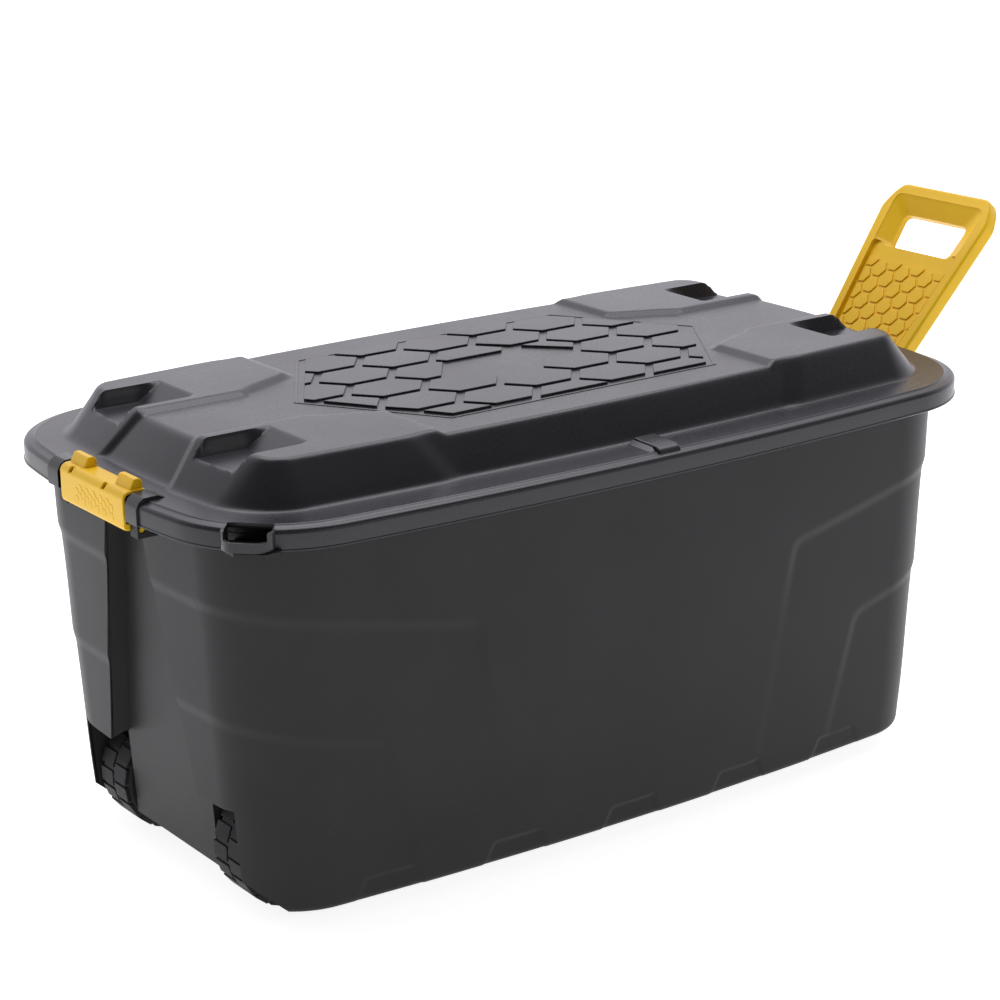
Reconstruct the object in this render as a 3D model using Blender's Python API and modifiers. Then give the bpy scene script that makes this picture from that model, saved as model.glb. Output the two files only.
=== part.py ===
"""Wheeled deck storage box: tub, lift-off lid, hooked latch, pull handle and two wheels.

Metres, +Z up.  The floor is z = 0, the pull handle is at the +X end and the wheels and latch
are at the -X end.  The long front wall faces -Y.
"""
import math

import bmesh
import bpy
from mathutils import Matrix, Vector

# ---- lid, seen from above ----
LID_LENGTH = 0.980
LID_WIDTH = 0.542
LID_CORNER = 0.1288
SIDE_BOW = 0.0137          # how far the long edges bulge at the middle
END_BOW = 0.0098           # how far the lid's short edges bulge at the middle
LID_WALL = 0.003
SKIRT_DEPTH = 0.0234       # flange top down to the skirt's lower edge
FLANGE_ROUND = 0.008       # rounding of the flange's outer edge
DOME_HEIGHT = 0.038        # flange top up to the middle of the lid
DOME_BASE_END = 0.047      # flange edge in to the foot of the dome, at the ends
DOME_BASE_SIDE = 0.051     # the same at the long sides
DOME_LEAN_END = 0.040      # how far the dome's end walls lean in
DOME_LEAN_SIDE = 0.028     # how far the dome's long walls lean in
DOME_CORNER = 0.058
DOME_CORNER_GROWTH = 0.012 # how much larger the corners are at the top edge
DOME_TURN = 0.88           # share of the height where the top edge's rounding starts
DOME_ROUND = 0.003
PAD_HEIGHT = 0.005         # raised pads at the four corners of the lid's top
PAD_INNER_X = 0.200
PAD_INNER_Y = 0.048
PAD_SLOPE = 0.010
POCKET_LENGTH = 0.078      # notches in the pads, open to the ends
POCKET_WIDTH = 0.074
POCKET_Y = 0.108
POCKET_DEPTH = 0.018
POCKET_FLARE = 0.012       # how far a pocket's mouth runs out on the leaning end wall

# ---- tub ----
TUB_HEIGHT = 0.4037        # underside of the tub to the top of its rim
TUB_WALL = 0.003
TUB_FLOOR = 0.0035
TUB_DRAFT = 0.0605         # inward lean of the walls, per metre of height
TUB_END_BOW = 0.003
TUB_BASE_CORNER = 0.082
RIM_FIT = 0.003            # gap between the skirt and the tub's rim
RIM_LIP = 0.0127           # height of the turned-down rim lip
RIM_ROUND = 0.0048         # bevel of the rim's top edge, under the lid's rounded flange
RIM_OVERHANG_END = 0.0265
RIM_OVERHANG_SIDE = 0.0194
LID_SEAT_GAP = 0.0003
FOOT_LENGTH = 0.070
FOOT_WIDTH = 0.056
FOOT_SETBACK = 0.062       # end of the base in to the middle of a foot
FOOT_Y = 0.120
BASE_LIFT = 0.018          # floor up to the underside of the tub
BASE_ROUND = 0.006
CHAMFER_START = 0.034      # wheel end: where the underside starts to rise
CHAMFER_SLOPE = 0.9
RECESS_DEPTH = 0.018       # wheel end: upright channel under the latch
RECESS_TOP_HALF = 0.0305
RECESS_BASE_HALF = 0.117
RECESS_LEAN_Y = 0.004

# ---- wheels ----
WHEEL_RADIUS = 0.060
WHEEL_WIDTH = 0.056
WHEEL_Y = 0.118
WHEEL_SETBACK = 0.0095     # end wall in to the front of the wheel
WHEEL_SIDE_GAP = 0.006
WELL_GAP = 0.008
ARCH_DROP = 0.010          # how far the mouth of the well is below its ceiling
PIN_RADIUS = 0.006
PIN_BITE = 0.008           # how far a pin reaches into each socket
SOCKET_RADIUS = 0.013
SOCKET_END = 0.004
HUB_DISH_RADIUS = 0.040
HUB_DISH_DEPTH = 0.009
HUB_RADIUS = 0.014
WHEEL_EDGE = 0.003
RUN_FIT = 0.0003

# ---- latch ----
LATCH_WIDTH = 0.128
LATCH_WALL = 0.003
LATCH_INSET = 0.0025       # lid's end edge in to the latch's outer face
LATCH_AXIS_IN = 0.0115     # latch's outer face in to its axis
LATCH_AXIS_DROP = 0.0315   # flange top down to the latch's axis
LATCH_BARREL = 0.0035
LATCH_REACH = 0.0245       # latch's outer face in to the tip of its hook
LATCH_TAB_WIDTH = 0.030
LATCH_TAB_HEIGHT = 0.010
LATCH_TAB_Y = 0.046
LATCH_TAB_DEPTH = 0.014    # a tab's foot
LATCH_TAB_CREST = 0.009
LATCH_TAB_ROUND = 0.003
LATCH_SIDE_GAP = 0.0015
LATCH_ROOM = 0.001         # gap between the tub's rim and the lid's skirt behind the latch
LATCH_LUG_WIDTH = 0.014
LATCH_LUG_NOSE = 0.0055    # axis out to the face of a lug
LATCH_LUG_DROP = 0.008     # axis down to the bottom of a lug
TRUNNION_RADIUS = 0.003
SHOULDER_WIDTH = 0.026     # raised blocks on the lid at each side of the latch
SHOULDER_HEIGHT = 0.0055
SHOULDER_PROUD = 0.0025
SHOULDER_LENGTH = 0.040

# ---- pull handle ----
HANDLE_LENGTH = 0.262      # axis to the top edge
HANDLE_TILT = math.radians(39.0)
HANDLE_DEPTH = 0.018
HANDLE_WALL = 0.0032
HANDLE_FOOT_WIDTH = 0.120
HANDLE_LOW_WIDTH = 0.133
HANDLE_TOP_WIDTH = 0.172
HANDLE_TOP_BEVEL = 0.032
HANDLE_AXIS_DROP = 0.0637  # rim top down to the handle's axis
HANDLE_AXIS_OUT = 0.0282   # end wall out to the handle's axis
HANDLE_FOOT = 0.020
HANDLE_KNEE = 0.008
GRIP_BAR = 0.035
GRIP_HEIGHT = 0.046
GRIP_TOP_WIDTH = 0.104
GRIP_LOW_WIDTH = 0.094
GRIP_BEVEL = 0.008
PANEL_RIM = 0.013
PANEL_DEPTH = 0.005
PANEL_LOW = 0.026
PANEL_TOP_GAP = 0.014
HANDLE_PIN_RADIUS = 0.005
HANDLE_LUG_WIDTH = 0.012
HANDLE_LUG_RADIUS = 0.012
HANDLE_LUG_GUSSET = 0.0264 # axis down to the foot of a lug

# ---- padlock eye and finger tab ----
EYE_WIDTH = 0.050
EYE_PROUD = 0.015
EYE_INBOARD = 0.014
EYE_WALL = 0.003
EYE_FLOOR_DROP = 0.017
EYE_LIP = 0.006
EYE_SLOT_LENGTH = 0.026
EYE_SLOT_WIDTH = 0.008
EYE_SLOT_INSET = 0.0075    # outer face in to the middle of the slot
EYE_BEVEL = 0.010
EYE_ROOM = 0.0012          # gap around the lid's eye, where the rim makes way for it
PLATE_INBOARD = 0.032
TAB_LENGTH = 0.044
TAB_WIDTH = 0.036
TAB_HEIGHT = 0.005
TAB_X = 0.012
TAB_INSET = 0.013

# ---- sizes that follow from those above ----
RIM_TOP_Z = BASE_LIFT + TUB_HEIGHT
FLANGE_Z = RIM_TOP_Z + LID_SEAT_GAP + LID_WALL
SKIRT_Z = FLANGE_Z - SKIRT_DEPTH
LID_HALF_X = LID_LENGTH / 2
LID_HALF_Y = LID_WIDTH / 2
RIM_INSET = LID_WALL + RIM_FIT
RIM_HALF_X = LID_HALF_X - RIM_INSET
RIM_HALF_Y = LID_HALF_Y - RIM_INSET
WALL_TOP_X = RIM_HALF_X - RIM_OVERHANG_END
WALL_TOP_Y = RIM_HALF_Y - RIM_OVERHANG_SIDE
AXLE_Z = WHEEL_RADIUS
OVERRUN = 0.020            # how far cutters run past the faces that they open
SLIVER = 0.0003            # keeps joined faces from lying on each other
PIN_END_PLAY = 0.002

COLLECTION = bpy.data.collections.new("deck_storage_box")
CUTTERS = bpy.data.collections.new("cutters")


def wall_x(z):
    """Half-length of the tub's outer wall at a height."""
    return WALL_TOP_X - TUB_DRAFT * (RIM_TOP_Z - z)


def wall_y(z):
    """Half-width of the tub's outer wall at a height."""
    return WALL_TOP_Y - TUB_DRAFT * (RIM_TOP_Z - z)


AXLE_X = -(wall_x(AXLE_Z) - WHEEL_SETBACK - WHEEL_RADIUS)


def latch_axis():
    return -LID_HALF_X + LATCH_INSET + LATCH_AXIS_IN, FLANGE_Z - LATCH_AXIS_DROP


def handle_axis():
    z = RIM_TOP_Z - HANDLE_AXIS_DROP
    return wall_x(z) + HANDLE_AXIS_OUT, z


# the box is drawn about the middle of the lid; the origin is the middle of the whole object
TILT_X = HANDLE_DEPTH / 2 * math.cos(HANDLE_TILT) + HANDLE_LENGTH * math.sin(HANDLE_TILT)
TIP_X = handle_axis()[0] + TILT_X
TAIL_X = -LID_HALF_X - SHOULDER_PROUD
LID_MIDDLE_X = -(TIP_X + TAIL_X) / 2


# ---- general helpers ----
def clear_scene():
    for item in list(bpy.data.objects):
        bpy.data.objects.remove(item, do_unlink=True)
    bpy.context.scene.collection.children.link(COLLECTION)
    bpy.context.scene.collection.children.link(CUTTERS)
    CUTTERS.hide_render = True


def material(name, colour, roughness, metallic=0.0):
    made = bpy.data.materials.new(name)
    made.use_nodes = True
    shader = made.node_tree.nodes["Principled BSDF"]
    shader.inputs["Base Color"].default_value = (*colour, 1.0)
    shader.inputs["Roughness"].default_value = roughness
    shader.inputs["Metallic"].default_value = metallic
    made.diffuse_color = (*colour, 1.0)
    return made


def add(name, mesh, paint=None):
    """Put a mesh in the scene: a painted part, or an unpainted cutter."""
    item = bpy.data.objects.new(name, mesh)
    if paint is None:
        CUTTERS.objects.link(item)
        item.display_type = "WIRE"
        item.hide_render = True
    else:
        COLLECTION.objects.link(item)
        mesh.materials.append(paint)
    return item


def mesh_from(bm, name):
    bmesh.ops.recalc_face_normals(bm, faces=bm.faces)
    mesh = bpy.data.meshes.new(name)
    bm.to_mesh(mesh)
    bm.free()
    return mesh


def box(name, low, high, paint=None):
    bm = bmesh.new()
    bmesh.ops.create_cube(bm, size=1.0)
    size = Vector(high) - Vector(low)
    middle = (Vector(high) + Vector(low)) / 2
    bmesh.ops.scale(bm, vec=size, verts=bm.verts)
    bmesh.ops.translate(bm, vec=middle, verts=bm.verts)
    return add(name, mesh_from(bm, name), paint)


def cylinder_y(name, radius, y_low, y_high, x=0.0, z=0.0, sides=32, paint=None):
    """A cylinder along Y with a vertex straight below its axis."""
    bm = bmesh.new()
    bmesh.ops.create_cone(bm, cap_ends=True, segments=sides, radius1=radius, radius2=radius,
                          depth=y_high - y_low)
    bmesh.ops.rotate(bm, cent=(0, 0, 0), matrix=Matrix.Rotation(math.pi / 2, 3, "X"), verts=bm.verts)
    bmesh.ops.translate(bm, vec=(x, (y_low + y_high) / 2, z), verts=bm.verts)
    return add(name, mesh_from(bm, name), paint)


def flat_shape(name, points, thickness, paint=None):
    """A flat outline in local XY, made as a filled 2D curve and turned into a closed mesh."""
    curve = bpy.data.curves.new(name, "CURVE")
    curve.dimensions = "2D"
    curve.fill_mode = "BOTH"
    curve.extrude = thickness / 2
    spline = curve.splines.new("POLY")
    spline.points.add(len(points) - 1)
    for point, (x, y) in zip(spline.points, points):
        point.co = (x, y, 0.0, 1.0)
    spline.use_cyclic_u = True
    holder = bpy.data.objects.new(name + "_curve", curve)
    COLLECTION.objects.link(holder)
    evaluated = holder.evaluated_get(bpy.context.evaluated_depsgraph_get())
    mesh = bpy.data.meshes.new_from_object(evaluated)
    bpy.data.objects.remove(holder, do_unlink=True)
    bm = bmesh.new()
    bm.from_mesh(mesh)
    bmesh.ops.remove_doubles(bm, verts=bm.verts, dist=0.00001)
    bpy.data.meshes.remove(mesh)
    return add(name, mesh_from(bm, name), paint)


def side_profile(name, points, half_width, y=0.0, paint=None):
    """An outline in XZ, extruded along Y about the given y."""
    item = flat_shape(name, points, 2 * half_width, paint)
    turn = Matrix.Translation((0, y, 0)) @ Matrix.Rotation(math.pi / 2, 4, "X")
    item.data.transform(turn)
    return item


def front_profile(name, points, x_low, x_high, paint=None):
    """An outline in YZ, extruded along X between two values."""
    item = flat_shape(name, points, x_high - x_low, paint)
    turn = Matrix(((0, 0, 1, (x_low + x_high) / 2), (1, 0, 0, 0), (0, 1, 0, 0), (0, 0, 0, 1)))
    item.data.transform(turn)
    return item


def outline(half_x, half_y, corner, side_bow, end_bow):
    """A rounded rectangle whose sides bulge, as one list of points, counterclockwise."""
    side_r = (half_x - corner) ** 2 / (2 * side_bow) + side_bow / 2
    end_r = (half_y - corner) ** 2 / (2 * end_bow) + end_bow / 2
    side_c = Vector((0.0, half_y - side_r))
    end_c = Vector((half_x - end_r, 0.0))
    centre = Vector((half_x - corner, half_y - corner))
    for _ in range(25):
        a = centre - side_c
        b = centre - end_c
        miss = Vector((a.length - (side_r - corner), b.length - (end_r - corner)))
        slope = Matrix((a.normalized(), b.normalized()))
        centre = centre - slope.inverted() @ miss
    side_angle = math.atan2(centre.y - side_c.y, centre.x - side_c.x)
    end_angle = math.atan2(centre.y - end_c.y, centre.x - end_c.x)
    quarter = []
    for step in range(4):
        turn = end_angle * step / 4
        quarter.append(end_c + end_r * Vector((math.cos(turn), math.sin(turn))))
    for step in range(9):
        turn = end_angle + (side_angle - end_angle) * step / 8
        quarter.append(centre + corner * Vector((math.cos(turn), math.sin(turn))))
    for step in range(1, 6):
        turn = side_angle + (math.pi / 2 - side_angle) * step / 5
        quarter.append(side_c + side_r * Vector((math.cos(turn), math.sin(turn))))
    left = [Vector((-p.x, p.y)) for p in reversed(quarter[:-1])]
    upper = quarter + left
    lower = [Vector((p.x, -p.y)) for p in reversed(upper[1:-1])]
    return upper + lower


def rectangle(x_low, x_high, y_low, y_high):
    return [Vector(p) for p in ((x_low, y_low), (x_high, y_low), (x_high, y_high), (x_low, y_high))]


def loft(name, sections, paint=None):
    """A closed solid through (outline, height) sections with equal numbers of points."""
    bm = bmesh.new()
    rings = [[bm.verts.new((p.x, p.y, z)) for p in points] for points, z in sections]
    for lower, upper in zip(rings, rings[1:]):
        for i in range(len(lower)):
            j = (i + 1) % len(lower)
            bm.faces.new((lower[i], lower[j], upper[j], upper[i]))
    bm.faces.new(rings[0])
    bm.faces.new(rings[-1])
    return add(name, mesh_from(bm, name), paint)


def combine(target, tool, operation):
    """Add a Boolean; the tool is parented to its target, so both share one set of coordinates."""
    tool.parent = target
    step = target.modifiers.new(operation.lower() + "_" + tool.name, "BOOLEAN")
    step.operation = operation
    step.solver = "EXACT"
    step.object = tool


def cut(target, *tools):
    for tool in tools:
        combine(target, tool, "DIFFERENCE")


def join(target, *tools):
    for tool in tools:
        combine(target, tool, "UNION")


def on_corner():
    """A point on the lid's edge at the padlock corner, and the direction square to that edge."""
    points = outline(LID_HALF_X, LID_HALF_Y, LID_CORNER, SIDE_BOW, END_BOW)
    facing = Vector((-1, -1)).normalized()
    edge = max(points, key=lambda p: p.dot(facing))
    return edge, facing


def eye_block(name, inner, outer, half_width, z_low, z_high, bevel=0.0):
    """A block at the padlock corner, between two distances measured outward from the lid's edge."""
    edge, facing = on_corner()
    along = Vector((-facing.y, facing.x))
    shape = [(inner, -half_width), (outer - bevel, -half_width), (outer, -half_width + bevel),
             (outer, half_width - bevel), (outer - bevel, half_width), (inner, half_width)]
    if bevel == 0.0:
        shape = [shape[0], shape[1], shape[4], shape[5]]
    points = [edge + facing * a + along * b for a, b in shape]
    return loft(name, [(points, z_low), (points, z_high)])


# ---- tub ----
def tub_section(z, inset, corner):
    return outline(wall_x(z) - inset, wall_y(z) - inset, corner - inset, SIDE_BOW, TUB_END_BOW), z


def wall_corner(z):
    """Corner radius of the tub's outer wall at a height."""
    share = (z - BASE_LIFT) / TUB_HEIGHT
    top = LID_CORNER - RIM_INSET - RIM_OVERHANG_SIDE
    return TUB_BASE_CORNER + (top - TUB_BASE_CORNER) * share


def well_profile(extra):
    """Side view of a wheel well, grown by a wall thickness."""
    reach = WHEEL_RADIUS + WELL_GAP + extra
    ceiling = AXLE_Z + reach
    mouth = -wall_x(ceiling) - OVERRUN
    wall = -wall_x(ceiling)
    return [(mouth, -OVERRUN), (mouth, ceiling - ARCH_DROP), (wall, ceiling - ARCH_DROP),
            (wall + 0.020, ceiling), (AXLE_X + 0.45 * reach, ceiling),
            (AXLE_X + reach, AXLE_Z + 0.45 * reach), (AXLE_X + reach, -OVERRUN)]


def well(name, side, extra):
    half = WHEEL_WIDTH / 2 + WHEEL_SIDE_GAP + extra
    return side_profile(name, well_profile(extra), half, y=side * WHEEL_Y)


def recess(name, extra):
    """The upright channel in the wheel end, grown by a wall thickness."""
    sections = []
    for z, half in ((-OVERRUN, RECESS_BASE_HALF), (RIM_TOP_Z - RIM_LIP - extra, RECESS_TOP_HALF)):
        floor = -(wall_x(z) - RECESS_DEPTH) + extra
        outer = -(wall_x(z) + OVERRUN)
        spread = RECESS_LEAN_Y * (OVERRUN + RECESS_DEPTH) / RECESS_DEPTH
        inner_half = half - RECESS_LEAN_Y + extra
        outer_half = inner_half + spread
        sections.append(([Vector((outer, -outer_half)), Vector((floor, -inner_half)),
                          Vector((floor, inner_half)), Vector((outer, outer_half))], z))
    return loft(name, sections)


def rise(name, extra):
    """The wedge under the wheel end, where the underside slopes up to the end wall."""
    start = -(wall_x(BASE_LIFT) - CHAMFER_START) + extra
    reach = CHAMFER_START + 4 * OVERRUN
    low = BASE_LIFT - OVERRUN
    toe = start + OVERRUN / CHAMFER_SLOPE
    points = [(toe, low), (start - reach, low), (start - reach, BASE_LIFT + reach * CHAMFER_SLOPE)]
    return side_profile(name, points, LID_HALF_Y)


def foot(name, side, inset):
    x = wall_x(BASE_LIFT) - FOOT_SETBACK
    low = 0.0 if inset == 0.0 else TUB_FLOOR
    high = BASE_LIFT + TUB_FLOOR / 2 if inset == 0.0 else BASE_LIFT + OVERRUN
    sections = []
    for z in (low, high):
        half_x = FOOT_LENGTH / 2 + 0.25 * z - inset
        half_y = FOOT_WIDTH / 2 + 0.25 * z - inset
        sections.append((rectangle(x - half_x, x + half_x, side * FOOT_Y - half_y,
                                   side * FOOT_Y + half_y), z))
    return loft(name, sections)


def latch_lugs():
    """Ears under the rim that carry the latch."""
    x, z = latch_axis()
    lugs = []
    for name, side in (("left", 1), ("right", -1)):
        near = LATCH_WIDTH / 2 + LATCH_SIDE_GAP
        far = near + LATCH_LUG_WIDTH
        low = (x - LATCH_LUG_NOSE, min(side * near, side * far), z - LATCH_LUG_DROP)
        high = (-wall_x(z) + TUB_WALL / 2, max(side * near, side * far), SKIRT_Z - 0.001)
        lugs.append(box("latch_lug_" + name, low, high))
    return lugs


def handle_lugs():
    """Ears on the end wall that carry the pull handle."""
    x, z = handle_axis()
    lugs = []
    for name, side in (("left", 1), ("right", -1)):
        near = HANDLE_FOOT_WIDTH / 2 + LATCH_SIDE_GAP
        middle = side * (near + HANDLE_LUG_WIDTH / 2)
        inside = wall_x(z) - TUB_WALL / 2
        r = HANDLE_LUG_RADIUS
        turns = [math.radians(a) for a in range(-90, 91, 20)]
        nose = [(x + r * math.cos(turn), z + r * math.sin(turn)) for turn in turns]
        points = [(inside, z - HANDLE_LUG_GUSSET)] + nose + [(inside, z + r)]
        lugs.append(side_profile("handle_lug_" + name, points, HANDLE_LUG_WIDTH / 2, y=middle))
    return lugs


def build_tub(paint):
    tub = loft("tub_shell", [
        tub_section(BASE_LIFT, BASE_ROUND * 0.7, wall_corner(BASE_LIFT)),
        tub_section(BASE_LIFT + BASE_ROUND * 0.3, BASE_ROUND * 0.2, wall_corner(BASE_LIFT)),
        tub_section(BASE_LIFT + BASE_ROUND, 0.0, wall_corner(BASE_LIFT)),
        tub_section(RIM_TOP_Z, 0.0, wall_corner(RIM_TOP_Z))], paint)

    rim = loft("rim", [lid_section(RIM_TOP_Z - RIM_LIP, RIM_INSET),
                       lid_section(RIM_TOP_Z - RIM_ROUND, RIM_INSET),
                       lid_section(RIM_TOP_Z, RIM_INSET + RIM_ROUND)])
    lip = RIM_INSET + TUB_WALL
    under = loft("rim_underside", [lid_section(RIM_TOP_Z - RIM_LIP - OVERRUN, lip),
                                   lid_section(RIM_TOP_Z - RIM_ROUND - TUB_WALL * 0.4, lip),
                                   lid_section(RIM_TOP_Z - TUB_WALL, lip + RIM_ROUND - TUB_WALL * 0.6)])
    cut(rim, under)
    join(tub, rim)

    # the padlock plate stands under the lid's eye; the rim makes way for the eye above it
    plate_top = eye_floor_z() - EYE_WALL - RUN_FIT
    plate = eye_block("padlock_plate", -PLATE_INBOARD, EYE_PROUD, EYE_WIDTH / 2,
                      plate_top - EYE_WALL, plate_top, EYE_BEVEL)
    room = LID_WALL + EYE_ROOM
    opening = eye_block("eye_clearance", -EYE_INBOARD - room, EYE_PROUD + OVERRUN,
                        EYE_WIDTH / 2 + room, plate_top, RIM_TOP_Z + OVERRUN)
    cut(tub, opening)
    join(tub, plate)

    feet = [foot("foot_left", 1, 0.0), foot("foot_right", -1, 0.0)]
    join(tub, *feet, *latch_lugs(), *handle_lugs())

    cavity = loft("tub_inside", [
        tub_section(BASE_LIFT + TUB_FLOOR, TUB_WALL + BASE_ROUND * 0.6, wall_corner(BASE_LIFT)),
        tub_section(BASE_LIFT + TUB_FLOOR + BASE_ROUND, TUB_WALL, wall_corner(BASE_LIFT)),
        tub_section(RIM_TOP_Z + OVERRUN, TUB_WALL, wall_corner(RIM_TOP_Z))])
    cut(cavity, well("well_wall_left", 1, TUB_WALL), well("well_wall_right", -1, TUB_WALL),
        recess("recess_wall", TUB_WALL), rise("rise_wall", TUB_WALL))
    join(cavity, foot("foot_inside_left", 1, TUB_WALL), foot("foot_inside_right", -1, TUB_WALL))
    cut(tub, cavity)

    half_well = WHEEL_WIDTH / 2 + WHEEL_SIDE_GAP
    reach = half_well + PIN_BITE
    for name, side in (("left", 1), ("right", -1)):
        middle = side * WHEEL_Y
        socket = cylinder_y("socket_" + name, SOCKET_RADIUS, middle - reach - SOCKET_END,
                            middle + reach + SOCKET_END, AXLE_X, AXLE_Z, 24)
        join(tub, socket)
    cut(tub, well("well_left", 1, 0.0), well("well_right", -1, 0.0))
    cut(tub, recess("recess", 0.0), rise("rise", 0.0))

    for name, side in (("left", 1), ("right", -1)):
        middle = side * WHEEL_Y
        bore = cylinder_y("socket_bore_" + name, PIN_RADIUS + RUN_FIT, middle - reach - RUN_FIT,
                          middle + reach + RUN_FIT, AXLE_X, AXLE_Z, 24)
        cut(tub, bore)

    x, z = latch_axis()
    half = LATCH_WIDTH / 2 + LATCH_LUG_WIDTH
    cut(tub, cylinder_y("latch_bore", TRUNNION_RADIUS + RUN_FIT, -half - OVERRUN, half + OVERRUN, x, z, 20))
    cut(tub, latch_notch("latch_room", LID_WALL + LATCH_ROOM, SKIRT_Z - RUN_FIT))

    x, z = handle_axis()
    half = HANDLE_FOOT_WIDTH / 2 + HANDLE_LUG_WIDTH
    cut(tub, cylinder_y("handle_bore", HANDLE_PIN_RADIUS + RUN_FIT, -half - OVERRUN, half + OVERRUN,
                        x, z, 24))
    cut(tub, eye_slot("plate_slot", plate_top))
    return tub


# ---- padlock eye ----
def eye_floor_z():
    return FLANGE_Z - EYE_FLOOR_DROP


def eye_slot(name, z):
    middle = EYE_PROUD - EYE_SLOT_INSET
    return eye_block(name, middle - EYE_SLOT_WIDTH / 2, middle + EYE_SLOT_WIDTH / 2,
                     EYE_SLOT_LENGTH / 2, z - OVERRUN, z + OVERRUN)


# ---- lid ----
def lid_section(z, inset):
    return outline(LID_HALF_X - inset, LID_HALF_Y - inset, LID_CORNER - inset, SIDE_BOW, END_BOW), z


def dome_section(share, z, inset):
    """The dome's outline, from its foot (share 0) to its top edge (share 1)."""
    half_x = LID_HALF_X - DOME_BASE_END - DOME_LEAN_END * share - inset
    half_y = LID_HALF_Y - DOME_BASE_SIDE - DOME_LEAN_SIDE * share - inset
    corner = DOME_CORNER + DOME_CORNER_GROWTH * share - inset
    return outline(half_x, half_y, corner, SIDE_BOW, END_BOW), z


def dome(name, inset):
    top = FLANGE_Z + DOME_HEIGHT + PAD_HEIGHT - inset
    foot_z = FLANGE_Z - LID_WALL - OVERRUN if inset else FLANGE_Z - LID_WALL / 2
    return loft(name, [dome_section(0.0, foot_z, inset),
                       dome_section(0.0, FLANGE_Z, inset),
                       dome_section(DOME_TURN, FLANGE_Z + (DOME_HEIGHT + PAD_HEIGHT) * DOME_TURN, inset),
                       dome_section(1.0, top, inset + DOME_ROUND)])


def sunken_band(name, extra):
    """The lower middle of the lid's top, between the pads at the two ends."""
    floor = FLANGE_Z + DOME_HEIGHT - extra
    top = floor + PAD_HEIGHT + OVERRUN
    low = PAD_INNER_X + extra
    high = low + PAD_SLOPE * (top - floor) / PAD_HEIGHT
    points = [(-low, floor), (low, floor), (high, top), (-high, top)]
    return side_profile(name, points, LID_HALF_Y)


def sunken_channel(name, extra):
    """The lower strip along the lid's top, between its left and right pads."""
    floor = FLANGE_Z + DOME_HEIGHT - extra
    top = floor + PAD_HEIGHT + OVERRUN
    low = PAD_INNER_Y + extra
    high = low + PAD_SLOPE * (top - floor) / PAD_HEIGHT
    points = [(-low, floor), (low, floor), (high, top), (-high, top)]
    return front_profile(name, points, -LID_HALF_X, LID_HALF_X)


def pocket(name, end, side, extra):
    outer = LID_HALF_X
    inner = LID_HALF_X - DOME_BASE_END - DOME_LEAN_END + POCKET_FLARE - POCKET_LENGTH - extra
    xs = sorted((end * inner, end * outer))
    half = POCKET_WIDTH / 2 + extra
    floor = FLANGE_Z + DOME_HEIGHT + PAD_HEIGHT - POCKET_DEPTH - extra
    return box(name, (xs[0], side * POCKET_Y - half, floor),
               (xs[1], side * POCKET_Y + half, FLANGE_Z + DOME_HEIGHT + OVERRUN))


def latch_skirt_x():
    """The lid's outer face behind the latch."""
    return -LID_HALF_X + LATCH_INSET + LATCH_WALL + 3 * RUN_FIT


def latch_notch(name, extra, low=None):
    """What the lid gives up so that the latch can lie in it; the tub gives up a little more."""
    low = SKIRT_Z - OVERRUN if low is None else low
    x = latch_skirt_x() + extra
    axis_x = latch_axis()[0] + extra
    top = FLANGE_Z - extra
    cover = top + extra + SLIVER
    points = [(-LID_HALF_X - OVERRUN, low), (x, low), (x, top - FLANGE_ROUND),
              (axis_x, top), (axis_x, cover), (-LID_HALF_X - OVERRUN, cover)]
    return side_profile(name, points, LATCH_WIDTH / 2 + LATCH_SIDE_GAP + extra)


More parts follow.
